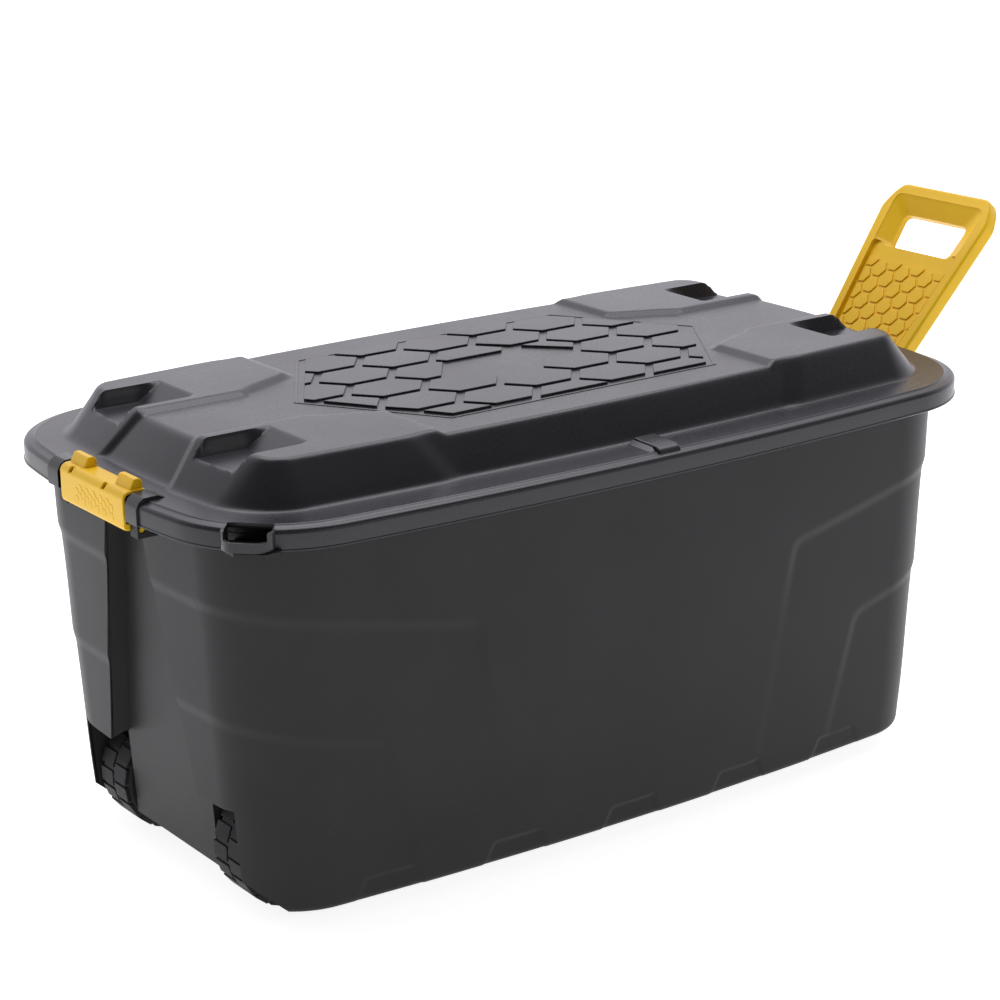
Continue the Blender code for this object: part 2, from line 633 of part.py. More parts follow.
def build_lid(paint):
    lid = loft("lid_shell", [lid_section(SKIRT_Z, 0.0), lid_section(FLANGE_Z - FLANGE_ROUND, 0.0),
                             lid_section(FLANGE_Z - FLANGE_ROUND * 0.3, FLANGE_ROUND * 0.3),
                             lid_section(FLANGE_Z, FLANGE_ROUND)], paint)
    join(lid, dome("dome", 0.0))
    inside = loft("lid_inside", [lid_section(SKIRT_Z - OVERRUN, LID_WALL),
                                 lid_section(FLANGE_Z - FLANGE_ROUND, LID_WALL),
                                 lid_section(FLANGE_Z - LID_WALL, LID_WALL + FLANGE_ROUND * 0.6)])
    join(inside, dome("dome_inside", LID_WALL))

    corners = [(end, side) for end in (-1, 1) for side in (-1, 1)]
    cut(inside, sunken_band("band_wall", LID_WALL), sunken_channel("channel_wall", LID_WALL))
    for number, (end, side) in enumerate(corners, 1):
        cut(inside, pocket(f"pocket_wall_{number}", end, side, LID_WALL))

    cut(inside, latch_notch("latch_notch_wall", LID_WALL))
    eye_wall = eye_block("eye_wall", -EYE_INBOARD - LID_WALL, EYE_PROUD, EYE_WIDTH / 2 + LID_WALL,
                         eye_floor_z() - EYE_WALL, FLANGE_Z)
    cut(inside, eye_wall)

    for name, side in (("left", 1), ("right", -1)):
        near = LATCH_WIDTH / 2 + LATCH_SIDE_GAP
        ys = sorted((side * near, side * (near + SHOULDER_WIDTH)))
        join(lid, box("shoulder_" + name, (TAIL_X, ys[0], SKIRT_Z),
                      (TAIL_X + SHOULDER_LENGTH, ys[1], FLANGE_Z + SHOULDER_HEIGHT)))
    join(lid, eye_block("eye_outer", -EYE_INBOARD, EYE_PROUD, EYE_WIDTH / 2, eye_floor_z() - EYE_WALL,
                        eye_floor_z() + EYE_LIP, EYE_BEVEL))
    tab_edge = -LID_HALF_Y + TAB_INSET
    join(lid, box("finger_tab", (TAB_X - TAB_LENGTH / 2, tab_edge, FLANGE_Z - FLANGE_ROUND),
                  (TAB_X + TAB_LENGTH / 2, tab_edge + TAB_WIDTH, FLANGE_Z + TAB_HEIGHT)))
    cut(lid, inside)
    cut(lid, sunken_band("band", 0.0), sunken_channel("channel", 0.0))
    for number, (end, side) in enumerate(corners, 1):
        cut(lid, pocket(f"pocket_{number}", end, side, 0.0))
    cut(lid, latch_notch("latch_notch", 0.0))
    # the eye: a lowered floor with a slot, and a gap in the skirt for the tub's plate
    cut(lid, eye_block("eye_pocket", -EYE_INBOARD, EYE_PROUD - EYE_WALL, EYE_WIDTH / 2 - EYE_WALL,
                       eye_floor_z(), FLANGE_Z + OVERRUN, EYE_BEVEL * 0.8))
    cut(lid, eye_block("eye_skirt_gap", -PLATE_INBOARD * 1.25, EYE_PROUD + OVERRUN,
                       EYE_WIDTH / 2 + EYE_ROOM, SKIRT_Z - OVERRUN, eye_floor_z() - EYE_WALL))
    cut(lid, eye_slot("eye_slot", eye_floor_z()))
    return lid


# ---- latch ----
def build_latch(paint):
    """The hooked latch, with its origin on its axis."""
    x, z = latch_axis()
    outer = -LID_HALF_X + LATCH_INSET - x
    inner = outer + LATCH_WALL
    under = FLANGE_Z + RUN_FIT - z
    top = under + LATCH_WALL
    tip = outer + LATCH_REACH
    r = LATCH_BARREL
    bend = FLANGE_ROUND
    profile = [(0.0, -r), (outer + LATCH_WALL, -r), (outer, 0.0), (outer, top - bend), (outer + bend, top),
               (tip, top), (tip, under), (-SLIVER, under), (inner, under - bend - SLIVER), (inner, r),
               (0.0, r)]
    half = LATCH_WIDTH / 2
    latch = side_profile("latch", profile, half, paint=paint)
    join(latch, cylinder_y("latch_barrel", r + SLIVER, -half + SLIVER, half - SLIVER, sides=20))
    reach = half + LATCH_SIDE_GAP + LATCH_LUG_WIDTH - PIN_END_PLAY
    join(latch, cylinder_y("latch_trunnion", TRUNNION_RADIUS, -reach, reach, sides=16))
    for name, side in (("left", 1), ("right", -1)):
        middle = side * LATCH_TAB_Y
        edge = tip - SLIVER
        sunk = top - LATCH_WALL / 2
        crest = top + LATCH_TAB_HEIGHT
        tab_points = [(edge, sunk), (edge, crest - LATCH_TAB_ROUND), (edge - LATCH_TAB_ROUND, crest),
                      (edge - LATCH_TAB_CREST, crest), (edge - LATCH_TAB_DEPTH, sunk)]
        join(latch, side_profile("latch_tab_" + name, tab_points, LATCH_TAB_WIDTH / 2, y=middle))
    latch.location = (x, 0.0, z)
    return latch


# ---- pull handle ----
def taper_half(z, low=0.0):
    """Half-width of the handle at a height above its axis."""
    share = (z - HANDLE_FOOT) / (HANDLE_LENGTH - HANDLE_TOP_BEVEL - HANDLE_FOOT)
    return (HANDLE_LOW_WIDTH + (HANDLE_TOP_WIDTH - HANDLE_LOW_WIDTH) * share) / 2 - low


def handle_outline(inset):
    foot_half = HANDLE_FOOT_WIDTH / 2 - inset
    low = -HANDLE_DEPTH / 2 + inset
    shoulder = HANDLE_LENGTH - HANDLE_TOP_BEVEL
    bevel = HANDLE_TOP_BEVEL - 0.4 * inset
    knee = HANDLE_FOOT + HANDLE_KNEE
    right = [(foot_half, low), (foot_half, HANDLE_FOOT + inset), (taper_half(knee, inset), knee + inset),
             (taper_half(shoulder, inset), shoulder - 0.4 * inset),
             (taper_half(shoulder, inset) - bevel * 0.25, HANDLE_LENGTH - bevel * 0.375 - inset),
             (taper_half(shoulder, inset) - bevel * 0.56, HANDLE_LENGTH - inset)]
    return right + [(-y, z) for y, z in reversed(right)]


def grip_outline(extra):
    top = HANDLE_LENGTH - GRIP_BAR + extra
    low = top - GRIP_HEIGHT - 2 * extra
    low_half = GRIP_LOW_WIDTH / 2 + extra
    top_half = GRIP_TOP_WIDTH / 2 + extra
    right = [(low_half - GRIP_BEVEL, low), (low_half, low + GRIP_BEVEL),
             (top_half, top - GRIP_BEVEL), (top_half - GRIP_BEVEL, top)]
    return right + [(-y, z) for y, z in reversed(right)]


def panel_outline(extra):
    top = HANDLE_LENGTH - GRIP_BAR - GRIP_HEIGHT - PANEL_TOP_GAP + extra
    low = PANEL_LOW - extra
    right = [(taper_half(low, PANEL_RIM - extra), low), (taper_half(top, PANEL_RIM - extra), top)]
    return right + [(-y, z) for y, z in reversed(right)]


def build_handle(paint):
    """The pull handle, hollow behind, with its origin on its axis and its face towards -X."""
    half = HANDLE_DEPTH / 2
    handle = front_profile("pull_handle", handle_outline(0.0), -half, half, paint)
    hollow = front_profile("handle_hollow", handle_outline(HANDLE_WALL), -half + HANDLE_WALL, half + OVERRUN)
    panel_back = -half + PANEL_DEPTH + HANDLE_WALL
    cut(hollow, front_profile("panel_back", panel_outline(HANDLE_WALL), -half, panel_back),
        front_profile("grip_wall", grip_outline(HANDLE_WALL), -half - OVERRUN, half + 2 * OVERRUN),
        cylinder_y("barrel_space", half, -HANDLE_TOP_WIDTH, HANDLE_TOP_WIDTH))
    cut(handle, hollow)
    cut(handle, front_profile("panel_front", panel_outline(0.0), -half - OVERRUN, -half + PANEL_DEPTH))
    cut(handle, front_profile("grip_hole", grip_outline(0.0), -half - OVERRUN, half + OVERRUN))
    reach = HANDLE_FOOT_WIDTH / 2 + LATCH_SIDE_GAP + HANDLE_LUG_WIDTH - PIN_END_PLAY
    join(handle, cylinder_y("handle_trunnion", HANDLE_PIN_RADIUS, -reach, reach, sides=20))
    x, z = handle_axis()
    handle.location = (x, 0.0, z)
    handle.rotation_euler = (0.0, HANDLE_TILT, 0.0)
    return handle


# ---- wheels and their pins ----
def build_wheel(name, side, paint):
    """A wheel with dished faces, with its origin at its centre."""
    half = WHEEL_WIDTH / 2
    wheel = cylinder_y(name, WHEEL_RADIUS, -half, half, sides=48, paint=paint)
    edge = wheel.modifiers.new("edge", "BEVEL")
    edge.width = WHEEL_EDGE
    edge.segments = 2
    edge.limit_method = "ANGLE"
    edge.angle_limit = math.radians(60)
    for label, end in (("outer", 1), ("inner", -1)):
        ys = sorted((end * (half - HUB_DISH_DEPTH), end * (half + OVERRUN)))
        dish = cylinder_y(f"{name}_dish_{label}", HUB_DISH_RADIUS, *ys, sides=32)
        hub_reach = half + 2 * OVERRUN
        cut(dish, cylinder_y(f"{name}_hub_{label}", HUB_RADIUS, -hub_reach, hub_reach, sides=24))
        cut(wheel, dish)
    cut(wheel, cylinder_y(name + "_bore", PIN_RADIUS + RUN_FIT, -half - OVERRUN, half + OVERRUN, sides=24))
    wheel.location = (AXLE_X, side * WHEEL_Y, AXLE_Z)
    return wheel


def build_pin(name, side, paint):
    reach = WHEEL_WIDTH / 2 + WHEEL_SIDE_GAP + PIN_BITE - RUN_FIT
    pin = cylinder_y(name, PIN_RADIUS, -reach, reach, sides=24, paint=paint)
    pin.location = (AXLE_X, side * WHEEL_Y, AXLE_Z)
    return pin


def main():
    clear_scene()
    black = material("black_polypropylene", (0.022, 0.022, 0.024), 0.42)
    lid_black = material("black_polypropylene_lid", (0.026, 0.026, 0.029), 0.38)
    yellow = material("yellow_polypropylene", (0.86, 0.50, 0.045), 0.40)
    wheel_black = material("black_wheel_plastic", (0.018, 0.018, 0.019), 0.55)
    steel = material("zinc_plated_steel", (0.62, 0.62, 0.63), 0.32, 1.0)
    build_tub(black)
    build_lid(lid_black)
    build_latch(yellow)
    build_handle(yellow)
    for name, side in (("left", 1), ("right", -1)):
        build_wheel("wheel_" + name, side, wheel_black)
        build_pin("axle_pin_" + name, side, steel)
    middle = bpy.data.objects.new("lid_middle", None)
    COLLECTION.objects.link(middle)
    middle.location = (LID_MIDDLE_X, 0.0, 0.0)
    for item in COLLECTION.objects:
        if item.type == "MESH":
            item.parent = middle


main()
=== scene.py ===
"""Looks of the wheeled deck storage box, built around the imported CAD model.

Metres, +Z up, in the CAD's frame.  Shapes are worked out about the middle of the lid and then
moved along X by SHIFT, because the origin is the middle of the whole object, handle included.
"""
import math
import bmesh
import bpy
import numpy as np
from mathutils import Matrix, Vector


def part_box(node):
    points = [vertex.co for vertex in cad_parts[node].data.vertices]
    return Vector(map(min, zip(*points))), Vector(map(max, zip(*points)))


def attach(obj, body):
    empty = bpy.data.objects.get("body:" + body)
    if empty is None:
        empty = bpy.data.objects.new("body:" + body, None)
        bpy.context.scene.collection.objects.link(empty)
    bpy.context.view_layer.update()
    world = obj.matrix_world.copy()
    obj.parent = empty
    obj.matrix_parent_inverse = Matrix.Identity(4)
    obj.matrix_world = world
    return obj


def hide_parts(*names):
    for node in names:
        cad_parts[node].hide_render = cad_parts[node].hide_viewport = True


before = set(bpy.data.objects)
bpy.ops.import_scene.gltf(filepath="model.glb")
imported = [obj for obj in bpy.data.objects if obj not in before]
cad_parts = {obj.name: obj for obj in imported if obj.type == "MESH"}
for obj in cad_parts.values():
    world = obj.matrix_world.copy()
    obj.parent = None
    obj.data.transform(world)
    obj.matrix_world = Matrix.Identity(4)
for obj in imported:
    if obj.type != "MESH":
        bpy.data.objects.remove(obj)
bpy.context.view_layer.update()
SCENE = bpy.context.scene

# ---- sizes that repeat the CAD's ----
LID_HALF = (0.490, 0.271)
LID_CORNER = 0.1288
SIDE_BOW = 0.0137
END_BOW = 0.0098
TUB_END_BOW = 0.003
FLANGE_Z = 0.425
SKIRT_Z = 0.4016
RIM_TOP_Z = 0.4217
BASE_Z = 0.018
WALL_TOP = (0.4575, 0.2456)
DRAFT = 0.0605
DOME_BASE = (0.443, 0.220)
LATCH_AXIS = (-0.476, 0.3935)
LATCH_HALF = 0.064
LATCH_OUT = 0.0025           # lid's end in to the latch plate
PLATE = 0.003                # thickness of the latch plate
HANDLE_AXIS = (0.481846, 0.358)
HANDLE_TILT = math.radians(39.0)
AXLE = (-0.366117, 0.060)
WHEEL_Y = 0.118
DOME_RISE = 0.038
PAD_RISE = 0.005
RECESS_DEPTH = 0.018
RECESS_LEAN = 0.004
RECESS_TOP = 0.409
RECESS_HALVES = (0.117, 0.0305)
SLOPE_START = 0.034
SLOPE_UNDER = 0.9
HANDLE_TOP = 0.262
HANDLE_FOOT = 0.020
HANDLE_BEVEL = 0.032
HANDLE_WIDTHS = (0.133, 0.172)
HANDLE_HALF_DEPTH = 0.009
GRIP_BAR = 0.035
GRIP_HEIGHT = 0.046
GRIP_LOW = HANDLE_TOP - GRIP_BAR - GRIP_HEIGHT
HANDLE_WALL = 0.0032
PANEL_RIM = 0.013
PANEL_LOW = 0.026
WHEEL_RADIUS = 0.060
WHEEL_HALF_WIDTH = 0.028
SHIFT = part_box("lid_shell")[1].x - LID_HALF[0]

# ---- sizes of the visual model alone ----
LID_STEP = 0.0022            # grid of the lid's upper face
LINING_STEP = 0.0060         # grid of its lower face
LID_WALL = 0.003
FLANGE_EDGE = 0.0140         # width of the rounded border of the flange
CREST_Z = FLANGE_Z + DOME_RISE
CELL_RISE = 0.0024           # honeycomb plates above the dome
BORDER_RISE = 0.0006
CELL_SINK = 0.0012           # how far plates and border reach down into the dome
LATCH_END_GAP = 0.0050
SKIN_LEAST = 0.00035         # thinnest skin over the CAD tub
SKIN_TOP = 0.4115
EYE_FLOOR = FLANGE_Z - 0.017


# ---- materials ----
def plastic(name, colour, rough, grain=900.0, bump=0.10, wear=0.25, cloud=0.04):
    """Moulded plastic: fine grain, cloudy gloss, faint scuffs and slightly uneven colour."""
    tint = wear * 0.35
    mat = bpy.data.materials.new(name)
    mat.use_nodes = True
    nodes = mat.node_tree.nodes
    links = mat.node_tree.links
    shader = nodes["Principled BSDF"]
    shader.inputs["IOR"].default_value = 1.49
    coords = nodes.new("ShaderNodeTexCoord")

    def noise(scale, detail, stretch=None):
        made = nodes.new("ShaderNodeTexNoise")
        made.inputs["Scale"].default_value = scale
        made.inputs["Detail"].default_value = detail
        source = coords.outputs["Object"]
        if stretch:
            turn = nodes.new("ShaderNodeMapping")
            turn.inputs["Scale"].default_value = stretch
            turn.inputs["Rotation"].default_value = (0.3, 0.2, 0.5)
            links.new(source, turn.inputs["Vector"])
            source = turn.outputs["Vector"]
        links.new(source, made.inputs["Vector"])
        return made.outputs["Fac"]

    def ramp(value, low, high, out_low, out_high):
        made = nodes.new("ShaderNodeMapRange")
        made.inputs["From Min"].default_value = low
        made.inputs["From Max"].default_value = high
        made.inputs["To Min"].default_value = out_low
        made.inputs["To Max"].default_value = out_high
        links.new(value, made.inputs["Value"])
        return made.outputs["Result"]

    def math_node(operation, a, b):
        made = nodes.new("ShaderNodeMath")
        made.operation = operation
        links.new(a, made.inputs[0])
        links.new(b, made.inputs[1])
        return made.outputs[0]

    clouds = noise(9.0, 5.0)
    specks = noise(260.0, 2.0)
    scratches = noise(60.0, 6.0, (1.0, 14.0, 3.0))
    scuff = ramp(scratches, 0.60, 0.72, 0.0, 1.0)
    patch = ramp(noise(14.0, 3.0), 0.50, 0.70, 0.0, 1.0)
    scuff = math_node("MULTIPLY", scuff, patch)

    mix = nodes.new("ShaderNodeMix")
    mix.data_type = "RGBA"
    mix.inputs[6].default_value = (*[c * (1 - tint) for c in colour], 1.0)
    mix.inputs[7].default_value = (*[min(1.0, c * (1 + tint)) for c in colour], 1.0)
    links.new(ramp(clouds, 0.3, 0.7, 0.0, 1.0), mix.inputs[0])
    pale = nodes.new("ShaderNodeMix")
    pale.data_type = "RGBA"
    pale.inputs[7].default_value = (*[min(1.0, c * 1.25 + 0.012) for c in colour], 1.0)
    links.new(mix.outputs[2], pale.inputs[6])
    links.new(ramp(scuff, 0.0, 1.0, 0.0, wear), pale.inputs[0])
    links.new(pale.outputs[2], shader.inputs["Base Color"])

    gloss = ramp(clouds, 0.25, 0.75, rough - cloud, rough + cloud)
    gloss = math_node("ADD", gloss, ramp(specks, 0.3, 0.7, -0.02, 0.02))
    gloss = math_node("ADD", gloss, ramp(scuff, 0.0, 1.0, 0.0, 0.10))
    links.new(gloss, shader.inputs["Roughness"])

    relief = math_node("ADD", noise(grain, 2.0), ramp(noise(45.0, 3.0), 0.0, 1.0, 0.0, 0.6))
    height = nodes.new("ShaderNodeBump")
    height.inputs["Strength"].default_value = bump
    height.inputs["Distance"].default_value = 0.0004
    links.new(relief, height.inputs["Height"])
    links.new(height.outputs["Normal"], shader.inputs["Normal"])
    return mat


def zinc(name):
    """Zinc plating: turned along the pin, with dull patches."""
    mat = plastic(name, (0.62, 0.62, 0.63), 0.32, grain=500.0, bump=0.06, wear=0.3, cloud=0.08)
    mat.node_tree.nodes["Principled BSDF"].inputs["Metallic"].default_value = 1.0
    return mat


TUB_BLACK = plastic("tub_black", (0.0270, 0.0266, 0.0274), 0.40)
LID_BLACK = plastic("lid_black", (0.0215, 0.0208, 0.0240), 0.29, bump=0.07, cloud=0.035)
YELLOW = plastic("yellow", (0.90, 0.545, 0.012), 0.34, bump=0.08, wear=0.14)
WHEEL_BLACK = plastic("wheel_black", (0.016, 0.016, 0.017), 0.52, grain=700.0, bump=0.14, wear=0.4)
PIN_ZINC = zinc("pin_zinc")
for paint, level in ((TUB_BLACK, 0.13), (LID_BLACK, 0.40), (YELLOW, 0.28), (WHEEL_BLACK, 0.15)):
    paint.node_tree.nodes["Principled BSDF"].inputs["Specular IOR Level"].default_value = level
PAINTS = {"tub": (TUB_BLACK, "tub_plastic"), "lid": (LID_BLACK, "lid_plastic"),
          "yellow": (YELLOW, "yellow_plastic"), "wheel": (WHEEL_BLACK, "wheel_plastic")}


# ---- helpers ----
def smooth(value):
    t = np.clip(value, 0.0, 1.0)
    return t * t * (3 - 2 * t)


def soft_min(a, b, k):
    h = np.clip(0.5 + 0.5 * (b - a) / k, 0.0, 1.0)
    return b + (a - b) * h - k * h * (1 - h)


def soft_max(a, b, k):
    return -soft_min(-a, -b, k)


def link(name, data):
    item = bpy.data.objects.new(name, data)
    SCENE.collection.objects.link(item)
    return item


def from_bmesh(name, bm):
    bmesh.ops.recalc_face_normals(bm, faces=bm.faces)
    mesh = bpy.data.meshes.new(name)
    bm.to_mesh(mesh)
    bm.free()
    return link(name, mesh)


def band(bm, low, high):
    """Faces between two loops of vertices."""
    for i in range(len(low)):
        j = (i + 1) % len(low)
        bm.faces.new((low[i], low[j], high[j], high[i]))


def loft(name, rings, around=False):
    """A solid through rings of points, capped at its ends or closed round on itself."""
    bm = bmesh.new()
    loops = [[bm.verts.new(p) for p in ring] for ring in rings]
    for low, high in zip(loops, loops[1:] + (loops[:1] if around else [])):
        band(bm, low, high)
    if not around:
        bm.faces.new(loops[0])
        bm.faces.new(loops[-1])
    return from_bmesh(name, bm)


def prism(name, points, low, high, axis="y", bevel=0.0, segments=3, angle=30):
    """An outline pushed along one axis: (x, z) along y, (y, z) along x, or (x, y) along z."""
    spot = {"y": lambda p, d: (p[0], d, p[1]), "x": lambda p, d: (d, p[0], p[1]),
            "z": lambda p, d: (p[0], p[1], d)}[axis]
    item = loft(name, [[spot(p, d) for p in points] for d in (low, high)])
    if bevel:
        add_bevel(item, bevel, segments, angle)
    return item


def cylinder(name, radius, y_low, y_high, x=0.0, z=0.0, sides=48, bevel=0.0):
    turns = [2 * math.pi * k / sides for k in range(sides)]
    points = [(x + radius * math.sin(t), z - radius * math.cos(t)) for t in turns]
    return prism(name, points, y_low, y_high, bevel=bevel, angle=60)


def add_bevel(item, width, segments=3, angle=30):
    step = item.modifiers.new("edge", "BEVEL")
    step.width = width
    step.segments = segments
    step.limit_method = "ANGLE"
    step.angle_limit = math.radians(angle)


def bake(item):
    """Apply the modifiers to the mesh."""
    graph = bpy.context.evaluated_depsgraph_get()
    mesh = bpy.data.meshes.new_from_object(item.evaluated_get(graph))
    item.modifiers.clear()
    item.data = mesh


def carve(target, tool):
    """Cut a tool out of a piece, and remove the tool."""
    bake(tool)
    step = target.modifiers.new("carve", "BOOLEAN")
    step.operation = "DIFFERENCE"
    step.solver = "MANIFOLD"
    step.object = tool
    bake(target)
    bpy.data.objects.remove(tool)


def merge(items, name):
    """One object from several, their meshes side by side."""
    bm = bmesh.new()
    for item in items:
        bake(item)
        bm.from_mesh(item.data)
        bpy.data.objects.remove(item)
    mesh = bpy.data.meshes.new(name)
    bm.to_mesh(mesh)
    bm.free()
    return link(name, mesh)


def place(item, body, paint, node=None, angle=32, flat=True):
    """Finish a piece: bake, shade, paint, shift into the CAD's frame and tie it to its body."""
    bake(item)
    item.data.transform(Matrix.Translation((SHIFT, 0, 0)))
    for polygon in item.data.polygons:
        polygon.use_smooth = True
    item.data.set_sharp_from_angle(angle=math.radians(angle))
    mat, slot = PAINTS[paint]
    item.data.materials.clear()
    item.data.materials.append(mat)
    if flat:
        even = item.modifiers.new("even", "WEIGHTED_NORMAL")
        even.keep_sharp = True
        even.weight = 90
    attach(item, body)
    if node:
        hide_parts(node)


def rounded(points, radius, steps=5):
    """A polygon with its corners rounded, each by its own radius."""
    made = []
    count = len(points)
    for i in range(count):
        here = np.array(points[i])
        before = np.array(points[i - 1]) - here
        after = np.array(points[(i + 1) % count]) - here
        r = radius[i] if isinstance(radius, (list, tuple)) else radius
        reach_a = min(r, np.hypot(*before) * 0.45)
        reach_b = min(r, np.hypot(*after) * 0.45)
        a = here + before / np.hypot(*before) * reach_a
        b = here + after / np.hypot(*after) * reach_b
        for k in range(steps + 1):
            t = k / steps
            made.append(tuple((1 - t) ** 2 * a + 2 * t * (1 - t) * here + t * t * b))
    return made


def outline(half_x, half_y, corner, side_bow, end_bow, fine=1.0):
    """Points and outward directions round a rectangle with round corners and bulging sides."""
    side_r = (half_x - corner) ** 2 / (2 * side_bow) + side_bow / 2
    end_r = (half_y - corner) ** 2 / (2 * end_bow) + end_bow / 2
    side_c = np.array((0.0, half_y - side_r))
    end_c = np.array((half_x - end_r, 0.0))
    centre = np.array((half_x - corner, half_y - corner))
    for _ in range(25):
        a = centre - side_c
        b = centre - end_c
        far_a, far_b = np.linalg.norm(a), np.linalg.norm(b)
        miss = np.array((far_a - (side_r - corner), far_b - (end_r - corner)))
        slope = np.array((a / far_a, b / far_b))
        centre = centre - np.linalg.solve(slope, miss)
    side_turn = math.atan2(*(centre - side_c)[::-1])
    end_turn = math.atan2(*(centre - end_c)[::-1])
    counts = [max(4, round(n * fine)) for n in (50, 66, 120)]
    parts = [(end_c, end_r, np.linspace(0, end_turn, counts[0], endpoint=False)),
             (centre, corner, np.linspace(end_turn, side_turn, counts[1], endpoint=False)),
             (side_c, side_r, np.linspace(side_turn, math.pi / 2, counts[2] + 1))]
    points = []
    facing = []
    for middle, radius, turns in parts:
        way = np.stack((np.cos(turns), np.sin(turns)), 1)
        facing.append(way)
        points.append(middle + radius * way)
    points = np.concatenate(points)
    facing = np.concatenate(facing)

    def ring(q):
        flip = np.array((-1.0, 1.0))
        upper = np.concatenate((q, (q * flip)[:-1][::-1]))
        return np.concatenate((upper, (upper * -flip)[1:-1][::-1]))
    return ring(points), ring(facing)


# ---- lid ----
def lid_height(x, y):
    """Height of the lid's upper face above its flange."""
    ax = np.abs(x)
    ay = np.abs(y)
    sx, sy = DOME_BASE
    corner = 0.060

    # four raised pads, which leave a wide middle and a channel at each end
    turn = np.clip((0.098 - ay) / 0.045, 0.0, 1.0)
    step_x = 0.208 + 0.072 * smooth(turn)
    slant = 0.072 / 0.045 * 6 * turn * (1 - turn)
    pad_x = smooth((ax - step_x) / (0.013 * np.hypot(1.0, slant)) + 0.5)
    pad_y = smooth((ay - 0.047) / 0.015)
    top = DOME_RISE + PAD_RISE * (pad_x * pad_y)

    # the sloping walls, set in where there is no pad
    sunk_side = 1 - smooth((ax - 0.205 - 0.9 * (0.222 - ay)) / 0.034 + 0.5)
    wide_y = ay + SIDE_BOW * (ax / 0.385) ** 2 + 0.0036 * sunk_side
    channel_end = (1 - smooth((ay - 0.048 - 0.35 * np.maximum(ax - 0.400, 0)) / 0.012))
    wide_x = ax + END_BOW * (ay / 0.165) ** 2 + 0.0055 * channel_end
    qx = wide_x - (sx - corner)
    qy = wide_y - (sy - corner)
    px = np.maximum(qx, 0)
    py = np.maximum(qy, 0)
    inside = corner - np.hypot(px, py) - np.minimum(np.maximum(qx, qy), 0)
    share = np.where((px > 0) & (py > 0), px ** 2 / (px ** 2 + py ** 2 + 1e-12),
                     np.where(qx > qy, 1.0, 0.0))
    lean = 0.028 + 0.012 * share
    z = soft_min(0.043 * inside / lean, top, 0.0055)

    # a notch in each pad, whose floor slopes down outwards
    ramp = np.clip((ax - 0.330) / 0.030, 0.0, 1.0)
    side = np.clip(np.minimum(ay - 0.0715, 0.1445 - ay) / 0.0045, 0.0, 1.0)
    depth = 0.0165 * ramp * side
    z = np.where(depth > 0.0004, soft_min(z, 0.0432 - depth, 0.0012), z)
    z = soft_max(z, 0.0, 0.006)
    return z * smooth((inside + 0.016) / 0.010)


def sheet(bm, ring_verts, ring_xy, step, z_of):
    """A fine grid that fills a ring, with a strip of triangles between the two."""
    turn = np.arctan2(ring_xy[:, 1], ring_xy[:, 0])
    order = np.argsort(turn)
    reach = np.hypot(ring_xy[:, 0], ring_xy[:, 1])[order]
    turn = turn[order]
    nx = int(LID_HALF[0] / step) + 1
    ny = int(LID_HALF[1] / step) + 1
    xs = np.arange(-nx, nx + 1) * step
    ys = np.arange(-ny, ny + 1) * step
    gx, gy = np.meshgrid(xs, ys, indexing="ij")
    limit = np.interp(np.arctan2(gy, gx), turn, reach, period=2 * math.pi)
    keep = np.hypot(gx, gy) < limit - 1.3 * step
    cell = keep[:-1, :-1] & keep[1:, :-1] & keep[:-1, 1:] & keep[1:, 1:]
    z = z_of(gx, gy)
    verts = {}

    def vert(i, j):
        if (i, j) not in verts:
            verts[i, j] = bm.verts.new((gx[i, j], gy[i, j], z[i, j]))
        return verts[i, j]
    cells = set(zip(*[list(map(int, w)) for w in np.nonzero(cell)]))
    for i, j in cells:
        bm.faces.new((vert(i, j), vert(i + 1, j), vert(i + 1, j + 1), vert(i, j + 1)))
    loose = [e for v in verts.values() for e in v.link_edges if len(e.link_faces) == 1]
    rim = [bm.edges.get((a, b)) for a, b in zip(ring_verts, ring_verts[1:] + ring_verts[:1])]
    bmesh.ops.triangle_fill(bm, edges=list(set(loose)) + rim, use_beauty=True)


def build_lid_sheet():
    """The lid as one shell: skirt, rounded flange edge, and the two faces of flange and dome."""
    points, facing = outline(*LID_HALF, LID_CORNER, SIDE_BOW, END_BOW)
    turns = np.radians(np.linspace(0, 80, 8))
    section = [(FLANGE_EDGE, FLANGE_Z - LID_WALL), (0.0065, FLANGE_Z - 0.0042),
               (0.0035, FLANGE_Z - 0.008), (0.003, FLANGE_Z - 0.012),
               (0.003, SKIRT_Z), (0.0006, SKIRT_Z),
               (-0.0002, SKIRT_Z + 0.0007), (-0.0002, SKIRT_Z + 0.0018), (0.0006, SKIRT_Z + 0.0026)]
    section += [(0.0006 + 0.0055 * (1 - math.cos(t)), FLANGE_Z - 0.0072 + 0.0052 * math.sin(t))
                for t in turns]
    section += [(0.0100, FLANGE_Z - 0.0015), (0.0112, FLANGE_Z - 0.0008), (0.0120, FLANGE_Z - 0.0001),
                (0.0128, FLANGE_Z + 0.0001), (FLANGE_EDGE, FLANGE_Z)]
    bm = bmesh.new()
    rings = [[bm.verts.new((x, y, z)) for x, y in points - facing * inset] for inset, z in section]
    for low, high in zip(rings, rings[1:]):
        band(bm, low, high)
    inner = points - facing * FLANGE_EDGE
    sheet(bm, rings[-1], inner, LID_STEP, lambda x, y: FLANGE_Z + lid_height(x, y))
    sheet(bm, rings[0], inner, LINING_STEP, lambda x, y: FLANGE_Z - LID_WALL + lid_height(x, y))
    return from_bmesh("lid_body", bm)


def corner_axes():
    """The padlock corner's outermost point, and the ways out of it and along it."""
    points, _ = outline(*LID_HALF, LID_CORNER, SIDE_BOW, END_BOW)
    facing = np.array((-1.0, -1.0)) / math.sqrt(2)
    return points[np.argmax(points @ facing)], facing, np.array((-facing[1], facing[0]))


